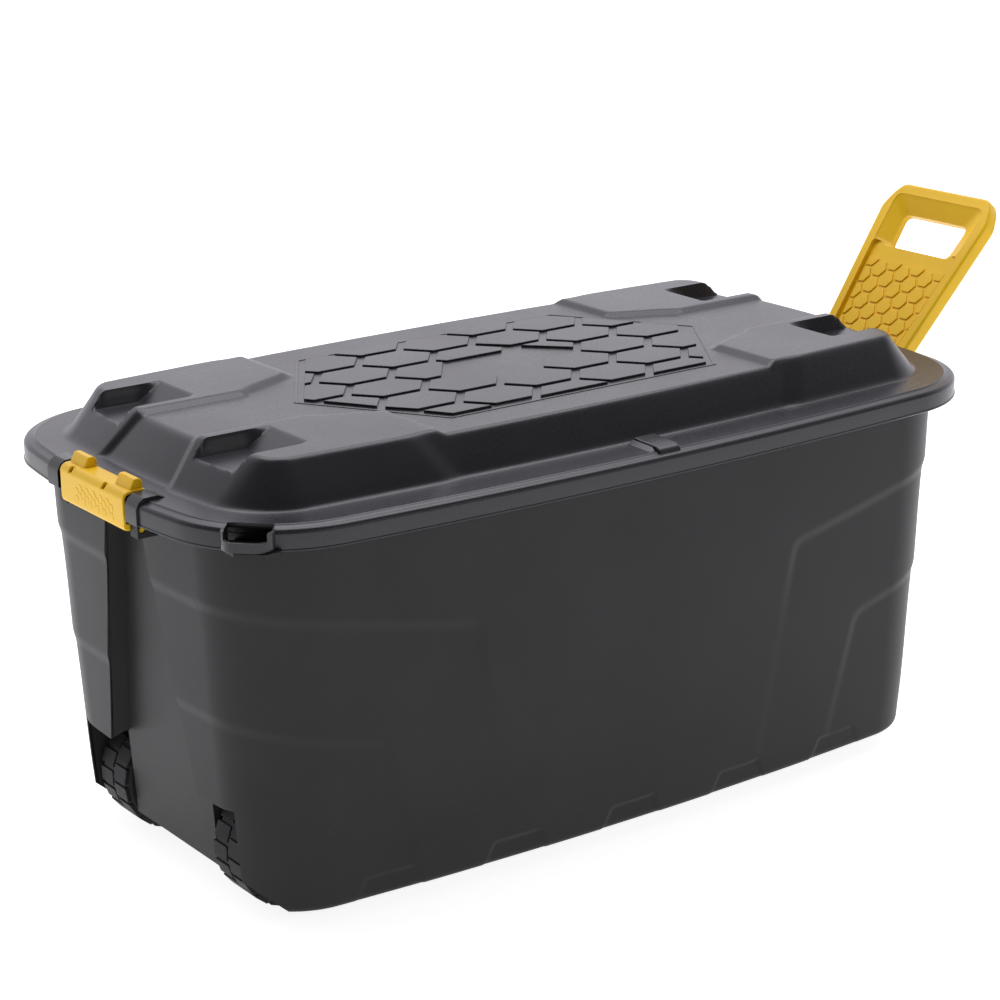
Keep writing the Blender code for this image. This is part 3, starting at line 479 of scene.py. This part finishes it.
def corner_block(name, shape, low, high, **extra):
    """An outline in (outward, along) distances at the padlock corner, upright."""
    edge, out, along = corner_axes()
    points = [tuple(edge + out * a + along * b) for a, b in shape]
    return prism(name, points, low, high, "z", **extra)


def across(inner, outer, half):
    return [(inner, -half), (outer, -half), (outer, half), (inner, half)]


def eye_shape(inner, outer, half, cut):
    """A block's outline at the padlock corner, with its outer corners cut off."""
    return [(inner, -half), (outer - cut, -half), (outer, -half + cut), (outer, half - cut),
            (outer - cut, half), (inner, half)]


def build_padlock_eye():
    """An open-topped bracket on the corner, with a slot for the shackle in its floor."""
    sharp, out, inn = 0.001, 0.006, 0.005
    outer = rounded(eye_shape(-0.0145, 0.015, 0.025, 0.010), [sharp, out, out, out, out, sharp])
    inner = rounded(eye_shape(-0.040, 0.0118, 0.0222, 0.009), [sharp, inn, inn, inn, inn, sharp])
    block = corner_block("padlock_eye", outer, EYE_FLOOR - 0.003, FLANGE_Z - 0.0022, bevel=0.0016)
    bake(block)
    carve(block, corner_block("room", inner, EYE_FLOOR, FLANGE_Z + 0.01))
    carve(block, corner_block("dip", across(0.0005, 0.03, 0.0205), EYE_FLOOR + 0.0066, FLANGE_Z + 0.01,
                              bevel=0.002))
    carve(block, corner_block("slot", across(0.0035, 0.0115, 0.013), EYE_FLOOR - 0.01, EYE_FLOOR + 0.01))
    add_bevel(block, 0.0006, 2, 40)
    return block


def build_shoulder(side, gap):
    """The raised end of the flange beside the latch."""
    ys = sorted((side * gap, side * (gap + 0.022)))
    low = -LID_HALF[0] + 0.0022
    points = [(low, SKIRT_Z), (low, FLANGE_Z - 0.007), (low + 0.0035, FLANGE_Z - 0.0005),
              (low + 0.009, FLANGE_Z + 0.0032), (low + 0.024, FLANGE_Z + 0.0036),
              (low + 0.036, FLANGE_Z - 0.002), (low + 0.036, FLANGE_Z - 0.0028),
              (low + 0.009, FLANGE_Z - 0.0028), (low + 0.009, SKIRT_Z)]
    return prism("shoulder", points, *ys, bevel=0.0018)


def build_finger_tab():
    """A raised tab across the front flange, with a sloping flank on each side."""
    low = FLANGE_Z - 0.002
    foot = -0.2205
    block = [(foot, low), (foot, FLANGE_Z + 0.0065), (-0.232, FLANGE_Z + 0.0055),
             (-0.256, FLANGE_Z + 0.0050), (-0.2625, FLANGE_Z + 0.0015), (-0.2655, FLANGE_Z - 0.0055),
             (-0.258, FLANGE_Z - 0.0055)]
    parts = [prism("tab", block, -0.003, 0.024, "x", bevel=0.0024)]
    for near, far in ((-0.002, -0.010), (0.023, 0.033)):
        rings = []
        for x, rise in ((near, 0.0042), (far, 0.0002)):
            shape = [(foot, low), (foot, FLANGE_Z + rise), (-0.250, FLANGE_Z + rise * 0.8),
                     (-0.2590, FLANGE_Z - 0.0022), (-0.2590, low - 0.001), (-0.250, low - 0.001)]
            rings.append([(x, y, z) for y, z in shape])
        parts.append(loft("flank", rings))
        add_bevel(parts[-1], 0.0012)
    return merge(parts, "finger_tab_raised")


def build_lid():
    lid = build_lid_sheet()
    gap = LATCH_HALF + LATCH_END_GAP
    past = -0.52
    face = -LID_HALF[0] + LATCH_OUT + PLATE + 0.0009
    notch = [(past, SKIRT_Z - 0.02), (face, SKIRT_Z - 0.02), (face, FLANGE_Z - 0.008),
             (face + 0.0025, FLANGE_Z - 0.0022), (LATCH_AXIS[0], FLANGE_Z - 0.00005),
             (LATCH_AXIS[0], FLANGE_Z + 0.01), (past, FLANGE_Z + 0.01)]
    carve(lid, prism("notch", notch, -gap, gap))
    eye_room = eye_shape(-0.0142, 0.03, 0.0222, 0.0)
    plate_room = eye_shape(-0.040, 0.035, 0.026, 0.0)
    carve(lid, corner_block("eye_room", eye_room, EYE_FLOOR - 0.0005, FLANGE_Z + 0.02))
    carve(lid, corner_block("plate_room", plate_room, SKIRT_Z - 0.02, EYE_FLOOR - 0.003))
    place(lid, "lid", "lid", "lid_shell", flat=False)
    place(merge([build_shoulder(side, gap) for side in (1, -1)], "lid_shoulders"), "lid", "lid")
    place(build_padlock_eye(), "lid", "lid")
    place(build_finger_tab(), "lid", "lid")


# ---- honeycomb on the lid ----
def clip(points, keep):
    """A polygon cut by a convex one, both counterclockwise."""
    for a, b in zip(keep, keep[1:] + keep[:1]):
        edge = np.subtract(b, a)
        inside = [edge[0] * (p[1] - a[1]) - edge[1] * (p[0] - a[0]) for p in points]
        made = []
        for i, p in enumerate(points):
            q = points[(i + 1) % len(points)]
            u, v = inside[i], inside[(i + 1) % len(points)]
            if u >= 0:
                made.append(p)
            if (u >= 0) != (v >= 0):
                t = u / (u - v)
                made.append((p[0] + (q[0] - p[0]) * t, p[1] + (q[1] - p[1]) * t))
        points = made
        if len(points) < 3:
            return []
    return points


def area(points):
    return 0.5 * sum(p[0] * q[1] - q[0] * p[1] for p, q in zip(points, points[1:] + points[:1]))


def no_short_sides(points, least):
    return [p for p, q in zip(points, points[1:] + points[:1])
            if np.hypot(p[0] - q[0], p[1] - q[1]) > least]


def shrink(points, gap):
    """A convex polygon moved in by a gap all round."""
    small = list(points)
    for a, b in zip(points, points[1:] + points[:1]):
        way = np.subtract(b, a)
        size = np.hypot(*way)
        if size < 1e-6:
            continue
        way = way / size
        inward = np.array((-way[1], way[0]))
        near_a = np.add(a, inward * gap)
        near_b = np.add(b, inward * gap)
        side = [near_a - way, near_b + way, near_b + inward + way, near_a + inward - way]
        small = clip(small, [tuple(p) for p in side])
        if not small:
            return []
    return small


def leave_blank(cell, blank):
    """What a cell keeps outside the blank middle: all of it, one side of an edge, or nothing."""
    pieces = []
    for a, b in zip(blank, blank[1:] + blank[:1]):
        way = np.subtract(b, a)
        way = way / np.hypot(*way)
        out = np.array((way[1], -way[0]))
        before, after = np.subtract(a, way), np.add(b, way)
        piece = clip(cell, [tuple(p) for p in (after, before, before + out, after + out)])
        if piece and area(piece) > 0.85 * area(cell):
            return piece
        if piece:
            pieces.append(piece)
    covered = clip(cell, blank)
    if not covered or area(covered) <= 0.12 * area(cell):
        return cell
    middle = np.mean(cell, 0)
    if not pieces or (abs(middle[0]) < 0.06 and abs(middle[1]) < 0.03):
        return []
    return max(pieces, key=area)


def honeycomb():
    """Raised six-sided plates in a border on the dome, with a blank middle."""
    column = 0.0724
    row = 0.0615
    arm = column / 1.5
    region = [(-0.252, 0.0), (-0.163, -0.141), (0.163, -0.141), (0.252, 0.0), (0.163, 0.141),
              (-0.163, 0.141)]
    blank = [(-0.078, -0.004), (-0.052, -0.029), (0.058, -0.029), (0.082, 0.006), (0.056, 0.034),
             (-0.050, 0.034)]
    low = CREST_Z - CELL_SINK
    bm = bmesh.new()
    for k in range(-4, 6):
        cx = -0.0117 + column * k
        shift = 0.017 if k % 2 else -0.0135
        for n in range(-4, 5):
            cy = shift + row * n
            corners = [(cx - arm, cy), (cx - arm / 2, cy - row / 2), (cx + arm / 2, cy - row / 2),
                       (cx + arm, cy), (cx + arm / 2, cy + row / 2), (cx - arm / 2, cy + row / 2)]
            whole = clip(corners, region)
            if not whole or area(whole) < 0.00025:
                continue
            small = shrink(leave_blank(whole, blank), 0.0042)
            if not small or area(small) <= 0.00012:
                continue
            cell = no_short_sides(small, 0.0012)
            if len(cell) < 3:
                continue
            lower, upper = [[bm.verts.new((x, y, z)) for x, y in cell]
                            for z in (low, CREST_Z + CELL_RISE)]
            band(bm, lower, upper)
            bm.faces.new(lower[::-1])
            bm.faces.new(upper)
    plates = from_bmesh("lid_honeycomb", bm)
    add_bevel(plates, 0.0009, 3, 50)
    place(plates, "lid", "lid")

    high = CREST_Z + BORDER_RISE
    outer = [(x * 1.028, y * 1.028) for x, y in region]
    inner = shrink(outer, 0.0034)
    section = ((outer, low), (outer, high), (inner, high), (inner, low))
    border = loft("honeycomb_border", [[(x, y, z) for x, y in loop] for loop, z in section], around=True)
    add_bevel(border, 0.0005, 2, 50)
    place(border, "lid", "lid")


# ---- tub ----
def wall_half(z):
    """Half-length and half-width of the CAD tub at a height."""
    return WALL_TOP[0] - DRAFT * (RIM_TOP_Z - z), WALL_TOP[1] - DRAFT * (RIM_TOP_Z - z)


def line_height(x, knots):
    return np.interp(x, [k[0] for k in knots], [k[1] for k in knots])


def wall_relief(x, y, z):
    """How far the tub's skin stands off the CAD wall: three steps in, a lower band and notches."""
    ax = np.where(np.abs(y) > 0.13, np.abs(x), 0.44)
    blend = 0.0145

    def inside(knots):
        """0 outside, 1 inside a region bounded by an upper line and a slanted side."""
        top = line_height(ax, knots["top"])
        side = line_height(z, knots["side"])
        a = (top - z) / blend
        b = (ax - side) / blend
        return smooth(soft_min(a, b, 0.8) + 0.5)
    first = inside({"top": [(0.15, 0.276), (0.205, 0.284), (0.391, 0.321), (0.46, 0.331)],
                    "side": [(0.0, 0.158), (0.080, 0.170), (0.262, 0.199), (0.40, 0.222)]})
    second = inside({"top": [(0.25, 0.160), (0.315, 0.183), (0.389, 0.201), (0.46, 0.216)],
                     "side": [(0.0, 0.264), (0.067, 0.275), (0.131, 0.291), (0.30, 0.332)]})
    upper = 0.0006 + 0.0030 * smooth((0.415 - z) / 0.13)
    middle = 0.0006 + 0.0024 * smooth((0.310 - z) / 0.13)
    base = 0.0008 + 0.0010 * smooth((0.18 - z) / 0.10)
    skin = upper * (1 - first) + middle * first
    skin = skin * (1 - second) + base * second
    band_top = line_height(ax, [(0.0, 0.086), (0.125, 0.086), (0.285, 0.060), (0.36, 0.064),
                                (0.45, 0.070)])
    fall = np.clip((band_top - z) / 0.065, 0.0, 1.0)
    skin = skin * (1 - 0.55 * fall) - 0.0002 * fall
    long_wall = np.abs(y) > 0.14
    notch = np.zeros_like(z)
    for middle_x in (-0.295, -0.1485, -0.002, 0.144, 0.290):
        side = 0.038 - 0.012 * np.clip((z - BASE_Z) / 0.025, 0, 1)
        room = np.minimum(side - np.abs(x - middle_x + 0.003), 0.042 - z)
        notch = np.maximum(notch, smooth(room / 0.0022 + 0.5))
    skin = np.where(long_wall, skin * (1 - notch) + SKIN_LEAST * notch, skin)
    return np.maximum(skin, SKIN_LEAST)


def build_tub_skin():
    """The outer face of the walls with its steps, a thin closed skin over the CAD tub."""
    levels = [BASE_Z - 0.0003 + 0.0004 * k for k in (0, 2, 5)]
    levels += list(np.arange(BASE_Z + 0.0035, SKIN_TOP, 0.0024))
    base_round = 0.006
    base_corner = 0.082
    rim_corner = LID_CORNER - 0.006 - 0.0194

    def ring_at(z, stand_off):
        corner = base_corner + (rim_corner - base_corner) * (z - BASE_Z) / (RIM_TOP_Z - BASE_Z)
        points, facing = outline(*wall_half(z), corner, SIDE_BOW, TUB_END_BOW, 1.1)
        return points + facing * np.asarray(stand_off).reshape(-1, 1)

    rings = []
    for z in levels:
        points = ring_at(z, [0.0])
        relief = wall_relief(points[:, 0], points[:, 1], np.full(len(points), z))
        under = np.clip((BASE_Z + base_round - z) / base_round, 0, 1)
        relief = relief - base_round * (1 - math.sqrt(max(0.0, 1 - under ** 2))) * 0.75
        rings.append([(x, y, z) for x, y in ring_at(z, relief)])
    for z, depth in ((SKIN_TOP, -0.0010), (BASE_Z + 0.010, -0.0015), (BASE_Z + 0.0012, -0.0075),
                     (BASE_Z - 0.0003, -0.0110)):
        rings.append([(x, y, z) for x, y in ring_at(z, [depth])])
    skin = loft("tub_wall_skin", rings, around=True)
    for tool in (well_tool(1), well_tool(-1), recess_tool(), rise_tool()):
        carve(skin, tool)
    return skin


def well_tool(side):
    """The room for a wheel."""
    reach = WHEEL_RADIUS + 0.008
    ceiling = AXLE[1] + reach
    wall = -wall_half(ceiling)[0]
    points = [(wall - 0.02, -0.02), (wall - 0.02, ceiling - 0.010), (wall, ceiling - 0.010),
              (wall + 0.020, ceiling), (AXLE[0] + 0.45 * reach, ceiling),
              (AXLE[0] + reach, AXLE[1] + 0.45 * reach), (AXLE[0] + reach, -0.02)]
    return prism("well_tool", points, side * WHEEL_Y - 0.034, side * WHEEL_Y + 0.034)


def recess_tool():
    """The upright channel in the wheel end."""
    over = 0.020
    spread = RECESS_LEAN * 0.038 / RECESS_DEPTH
    rings = []
    for z, half in zip((-0.02, RECESS_TOP), RECESS_HALVES):
        floor = -(wall_half(z)[0] - RECESS_DEPTH)
        outer = -(wall_half(z)[0] + over)
        inner = half - RECESS_LEAN
        rings.append([(outer, -inner - spread, z), (floor, -inner, z), (floor, inner, z),
                      (outer, inner + spread, z)])
    return loft("recess_tool", rings)


def rise_tool():
    """The wedge under the wheel end."""
    reach = 0.114
    start = -(wall_half(BASE_Z)[0] - SLOPE_START)
    low = BASE_Z - 0.02
    toe = start + 0.02 / SLOPE_UNDER
    points = [(toe, low), (start - reach, low), (start - reach, BASE_Z + reach * SLOPE_UNDER)]
    return prism("rise_tool", points, -0.27, 0.27)


# ---- latch ----
def hexagon(cx, cy, arm):
    turns = [math.radians(60 * k) for k in range(6)]
    return [(cx + arm * math.cos(t), cy + arm * math.sin(t)) for t in turns]


def build_latch():
    """The hooked plate with its two finger tabs, small hexagons and hinge pin."""
    ax, az = LATCH_AXIS
    outer = -LID_HALF[0] + LATCH_OUT
    inner = outer + PLATE
    under = FLANGE_Z + 0.0003
    top = under + PLATE
    tip = outer + 0.0245
    bend = 0.008
    small = bend - PLATE
    turns = [math.radians(180 - 90 * k / 8) for k in range(9)]
    arc = [(outer + bend + bend * math.cos(t), top - bend + bend * math.sin(t)) for t in turns]
    arc_in = [(outer + bend + small * math.cos(t), under - small + small * math.sin(t))
              for t in reversed(turns[1:-1])]
    profile = [(ax, az - 0.0035), (outer + 0.0045, az - 0.0035), (outer + 0.0012, az - 0.0022),
               (outer, az + 0.001)]
    profile += arc + [(tip, top), (tip, under), (ax - 0.0003, under)] + arc_in
    profile += [(inner, az + 0.0035), (ax, az + 0.0035)]
    body = prism("latch_plate", profile, -LATCH_HALF, LATCH_HALF, bevel=0.0009, segments=2, angle=50)
    bake(body)
    slot = [(outer - 0.004, top - 0.0062), (outer + 0.0062, top - 0.0062),
            (outer + 0.0062, top + 0.004), (outer - 0.004, top + 0.004)]
    for y in (0.044, -0.0235):
        carve(body, prism("slot", slot, y - 0.0035, y + 0.0035))
    parts = [body]
    edge = tip - 0.0003
    crest = top + 0.010
    tab = [(edge, top - 0.0015), (edge, crest - 0.003), (edge - 0.003, crest), (edge - 0.009, crest),
           (edge - 0.0135, top + 0.0015), (edge - 0.0145, top - 0.0015)]
    for y in (0.046, -0.046):
        parts.append(prism("tab", tab, y - 0.015, y + 0.015, bevel=0.0013))
    arm = 0.0047
    for column in range(-4, 7):
        for row in range(3):
            cy = -0.012 + column * arm * 1.5
            cz = az + 0.0060 + row * arm * 1.732 + (arm * 0.866 if column % 2 else 0.0)
            if cz < az + 0.0215:
                cell = hexagon(cy, cz, arm * 0.93)
                parts.append(prism("cell", cell, outer - 0.00035, outer + 0.001, "x",
                                   bevel=0.0002, segments=1))
    barrel = cylinder("barrel", 0.0038, -LATCH_HALF + 0.0005, LATCH_HALF - 0.0005, ax, az, 32)
    trunnion = cylinder("trunnion", 0.003, -0.0775, 0.0775, ax, az, 32)
    return merge(parts + [barrel, trunnion], "latch_hook")


# ---- pull handle ----
def handle_half(z):
    """Half-width of the handle at a height above its axis."""
    low, high = HANDLE_WIDTHS
    share = (z - HANDLE_FOOT) / (HANDLE_TOP - HANDLE_BEVEL - HANDLE_FOOT)
    return (low + (high - low) * share) / 2


def both_sides(right):
    return right + [(-y, z) for y, z in reversed(right)]


def handle_edge(inset):
    low = -HANDLE_HALF_DEPTH + inset
    shoulder = 0.230
    knee = 0.028
    foot_half = 0.060 - inset
    bevel = HANDLE_BEVEL - 0.4 * inset
    half = handle_half(shoulder) - inset
    return both_sides([(foot_half, low), (foot_half, HANDLE_FOOT + inset),
                       (handle_half(knee) - inset, knee + inset), (half, shoulder - 0.4 * inset),
                       (half - bevel * 0.25, HANDLE_TOP - bevel * 0.375 - inset),
                       (half - bevel * 0.56, HANDLE_TOP - inset)])


def grip_edge(grow):
    top = HANDLE_TOP - GRIP_BAR + grow
    low = top - GRIP_HEIGHT - 2 * grow
    return both_sides([(0.047 + grow, low), (0.052 + grow, top)])


def sunken_edge(over, grow):
    """The sunken face, up to a height over the lower edge of the grip hole."""
    top = GRIP_LOW + over + grow
    low = PANEL_LOW - grow
    return both_sides([(handle_half(low) - PANEL_RIM + grow, low),
                       (handle_half(top) - PANEL_RIM + grow, top)])


def funnel(name, grow):
    """The slope from the raised rim down into the grip hole."""
    low = GRIP_LOW - 0.001
    top = HANDLE_TOP - 0.0135
    wide = both_sides([(handle_half(low) - 0.0135 + grow, low - grow),
                       (handle_half(top) - 0.016 + grow, top + grow)])
    rings = ((wide, -0.0135), (wide, -0.0085 + grow), (grip_edge(grow), 0.0015 + grow))
    return loft(name, [[(x, y, z) for y, z in rounded(points, 0.012)] for points, x in rings])


def build_handle():
    """The handle, hollow behind, with its face towards the lid, turned up as it stands."""
    face = -HANDLE_HALF_DEPTH
    back = HANDLE_HALF_DEPTH
    wall = HANDLE_WALL
    plate = prism("handle_plate", rounded(handle_edge(0.0), 0.006), face, back, "x",
                  bevel=0.0034, segments=4, angle=40)
    bake(plate)
    hollow = prism("hollow", rounded(handle_edge(wall), 0.004), face + wall, back + 0.02, "x")
    for tool in (prism("back", rounded(sunken_edge(0.004, wall), 0.004), face, face + 0.0082, "x"),
                 funnel("funnel_wall", wall),
                 prism("wall", rounded(grip_edge(wall), 0.010), -0.03, 0.04, "x"),
                 cylinder("barrel_space", back, -0.10, 0.10)):
        carve(hollow, tool)
    tray = prism("tray", rounded(sunken_edge(0.004, 0.0), 0.006), -0.03, face + 0.0050, "x")
    grip = prism("grip", rounded(grip_edge(0.0), 0.010), -0.03, 0.03, "x")
    for tool in (hollow, tray, funnel("funnel", 0.0), grip):
        carve(plate, tool)
    add_bevel(plate, 0.0015, 3, 50)
    parts = [plate]
    arm = 0.0127
    row = arm * math.sqrt(3)
    panel = sunken_edge(-0.014, -0.0025)
    if area(panel) < 0:
        panel.reverse()
    for column in range(-4, 5):
        for line in range(9):
            cy = column * arm * 1.5
            cz = 0.040 + line * row + (row / 2 if column % 2 else 0.0)
            cell = clip(hexagon(cy, cz, arm), panel)
            if not cell or area(cell) < 0.00006:
                continue
            small = no_short_sides(shrink(cell, 0.0016), 0.0008)
            if len(small) > 2:
                parts.append(prism("hex", small, face + 0.0034, face + 0.0055, "x",
                                   bevel=0.0008, segments=2))
    trunnion = cylinder("trunnion", 0.005, -0.0715, 0.0715, sides=40, bevel=0.0006)
    handle = merge(parts + [trunnion], "pull_handle_moulding")
    stand = Matrix.Translation((HANDLE_AXIS[0], 0, HANDLE_AXIS[1]))
    handle.data.transform(stand @ Matrix.Rotation(HANDLE_TILT, 4, "Y"))
    return handle


# ---- wheels ----
def build_wheel(name, side):
    """A hollow-faced wheel with two staggered lanes of tread blocks and six spokes a side."""
    half = WHEEL_HALF_WIDTH
    core = 0.0582
    profile = [(0.0063, -half + 0.002), (0.0063, half - 0.002), (0.014, half - 0.001),
               (0.0155, half - 0.003), (0.0165, half - 0.009), (0.038, half - 0.009),
               (0.0405, half - 0.002), (0.043, half), (0.052, half), (0.0555, half - 0.002),
               (core, half - 0.006)]
    profile += [(r, -y) for r, y in reversed(profile[2:])]
    sides = 72
    rings = []
    for k in range(sides):
        turn = 2 * math.pi * k / sides
        rings.append([(r * math.sin(turn), y, -r * math.cos(turn)) for r, y in profile])
    parts = [loft("wheel_core", rings, around=True)]

    blocks = 18
    width = math.radians(17.2)
    for k in range(blocks):
        for lane, offset in ((-1, 0.0), (1, 0.5)):
            turn = 2 * math.pi * (k + offset) / blocks
            shape = []
            for r, w, s in ((core - 0.004, 1.0, -1), (core - 0.004, 1.0, 1),
                            (WHEEL_RADIUS, 0.90, 1), (WHEEL_RADIUS, 0.90, -1)):
                angle = turn + s * width * w / 2
                shape.append((r * math.sin(angle), -r * math.cos(angle)))
            ys = sorted((lane * 0.0012, lane * 0.0262))
            parts.append(prism("block", shape, *ys, bevel=0.0009, segments=2))
    rib = [(-0.0022, 0.013), (0.0022, 0.013), (0.0018, 0.0395), (-0.0018, 0.0395)]
    for k in range(6):
        turn = 2 * math.pi * (k + 0.5) / 6
        for face in (1, -1):
            ys = sorted((face * (half - 0.0105), face * (half - 0.004)))
            spoke = prism("spoke", rib, *ys, bevel=0.0008, segments=2)
            spoke.data.transform(Matrix.Rotation(turn, 4, "Y"))
            parts.append(spoke)
    wheel = merge(parts, name)
    wheel.data.transform(Matrix.Translation((AXLE[0], side * WHEEL_Y, AXLE[1])))
    return wheel


# ---- everything ----
build_lid()
honeycomb()
place(build_tub_skin(), "tub", "tub", angle=40, flat=False)
place(build_latch(), "latch", "yellow", "latch")
place(build_handle(), "pull_handle", "yellow", "pull_handle", angle=40)
place(build_wheel("wheel_left_treaded", 1), "wheel_left", "wheel", "wheel_left")
place(build_wheel("wheel_right_treaded", -1), "wheel_right", "wheel", "wheel_right")

for node, mat in (("tub_shell", TUB_BLACK), ("axle_pin_left", PIN_ZINC), ("axle_pin_right", PIN_ZINC)):
    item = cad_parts[node]
    item.data.materials.clear()
    item.data.materials.append(mat)

# ---- camera ----
BOX_MIDDLE = Vector((SHIFT, 0.0, 0.2336))
CAMERA_DISTANCE = 2.831
turn, lift, roll = math.radians(-35.619), math.radians(18.805), math.radians(-0.802)
back = Vector((math.sin(turn) * math.cos(lift), -math.cos(turn) * math.cos(lift), math.sin(lift)))
right = Vector((math.cos(turn), math.sin(turn), 0.0))
up = back.cross(right)
tilted_right = math.cos(roll) * right + math.sin(roll) * up
tilted_up = -math.sin(roll) * right + math.cos(roll) * up
lens = bpy.data.cameras.new("camera")
lens.sensor_width = 36.0
lens.lens = 94.55
lens.shift_x = -0.00751
lens.shift_y = 0.06929
lens.clip_end = 100.0
camera = link("camera", lens)
basis = Matrix((tilted_right, tilted_up, back)).transposed().to_4x4()
camera.matrix_world = Matrix.Translation(BOX_MIDDLE + back * CAMERA_DISTANCE) @ basis
SCENE.camera = camera

# ---- floor and light ----
floor_mat = bpy.data.materials.new("floor")
floor_mat.use_nodes = True
floor_shader = floor_mat.node_tree.nodes["Principled BSDF"]
floor_shader.inputs["Base Color"].default_value = (0.90, 0.90, 0.90, 1.0)
floor_shader.inputs["Roughness"].default_value = 0.9
floor_shader.inputs["Specular IOR Level"].default_value = 0.0
floor_shader.inputs["Emission Color"].default_value = (1.0, 1.0, 1.0, 1.0)
floor_shader.inputs["Emission Strength"].default_value = 0.86
bm = bmesh.new()
bmesh.ops.create_grid(bm, x_segments=1, y_segments=1, size=40.0)
floor = from_bmesh("floor", bm)
floor.data.materials.append(floor_mat)

# a studio that is bright behind and beside the object and dim above its front
world = bpy.data.worlds.new("studio")
world.use_nodes = True
sky = world.node_tree
way = sky.nodes.new("ShaderNodeTexCoord")
split = sky.nodes.new("ShaderNodeVectorMath")
split.operation = "DOT_PRODUCT"
split.inputs[1].default_value = (0.50, 0.84, -0.20)
sky.links.new(way.outputs["Generated"], split.inputs[0])
shade = sky.nodes.new("ShaderNodeMapRange")
shade.interpolation_type = "SMOOTHSTEP"
shade.inputs["From Min"].default_value = -0.35
shade.inputs["From Max"].default_value = 0.75
shade.inputs["To Min"].default_value = 0.10
shade.inputs["To Max"].default_value = 1.30
sky.links.new(split.outputs["Value"], shade.inputs["Value"])
sky.nodes["Background"].inputs["Color"].default_value = (0.95, 0.93, 1.0, 1.0)
sky.links.new(shade.outputs["Result"], sky.nodes["Background"].inputs["Strength"])
SCENE.world = world
SCENE.view_settings.view_transform = "Standard"


def lamp(name, spot, aim, size, power, colour=(1.0, 1.0, 1.0)):
    light = bpy.data.lights.new(name, "AREA")
    light.shape = "RECTANGLE"
    light.size, light.size_y = size
    light.energy = power
    light.color = colour
    holder = link(name, light)
    way = (Vector(aim) - Vector(spot)).normalized()
    holder.matrix_world = Matrix.Translation(spot) @ way.to_track_quat("-Z", "Y").to_matrix().to_4x4()


lamp("overhead", (0.3, 0.6, 2.6), (SHIFT, 0.0, 0.4), (2.6, 1.8), 46.0, (0.95, 0.93, 1.0))
lamp("side", (-2.6, -0.6, 0.9), (SHIFT, 0.0, 0.25), (0.5, 1.2), 0.8)
lamp("front", (0.4, -3.0, 1.6), (SHIFT, 0.0, 0.30), (3.2, 0.45), 8.0)
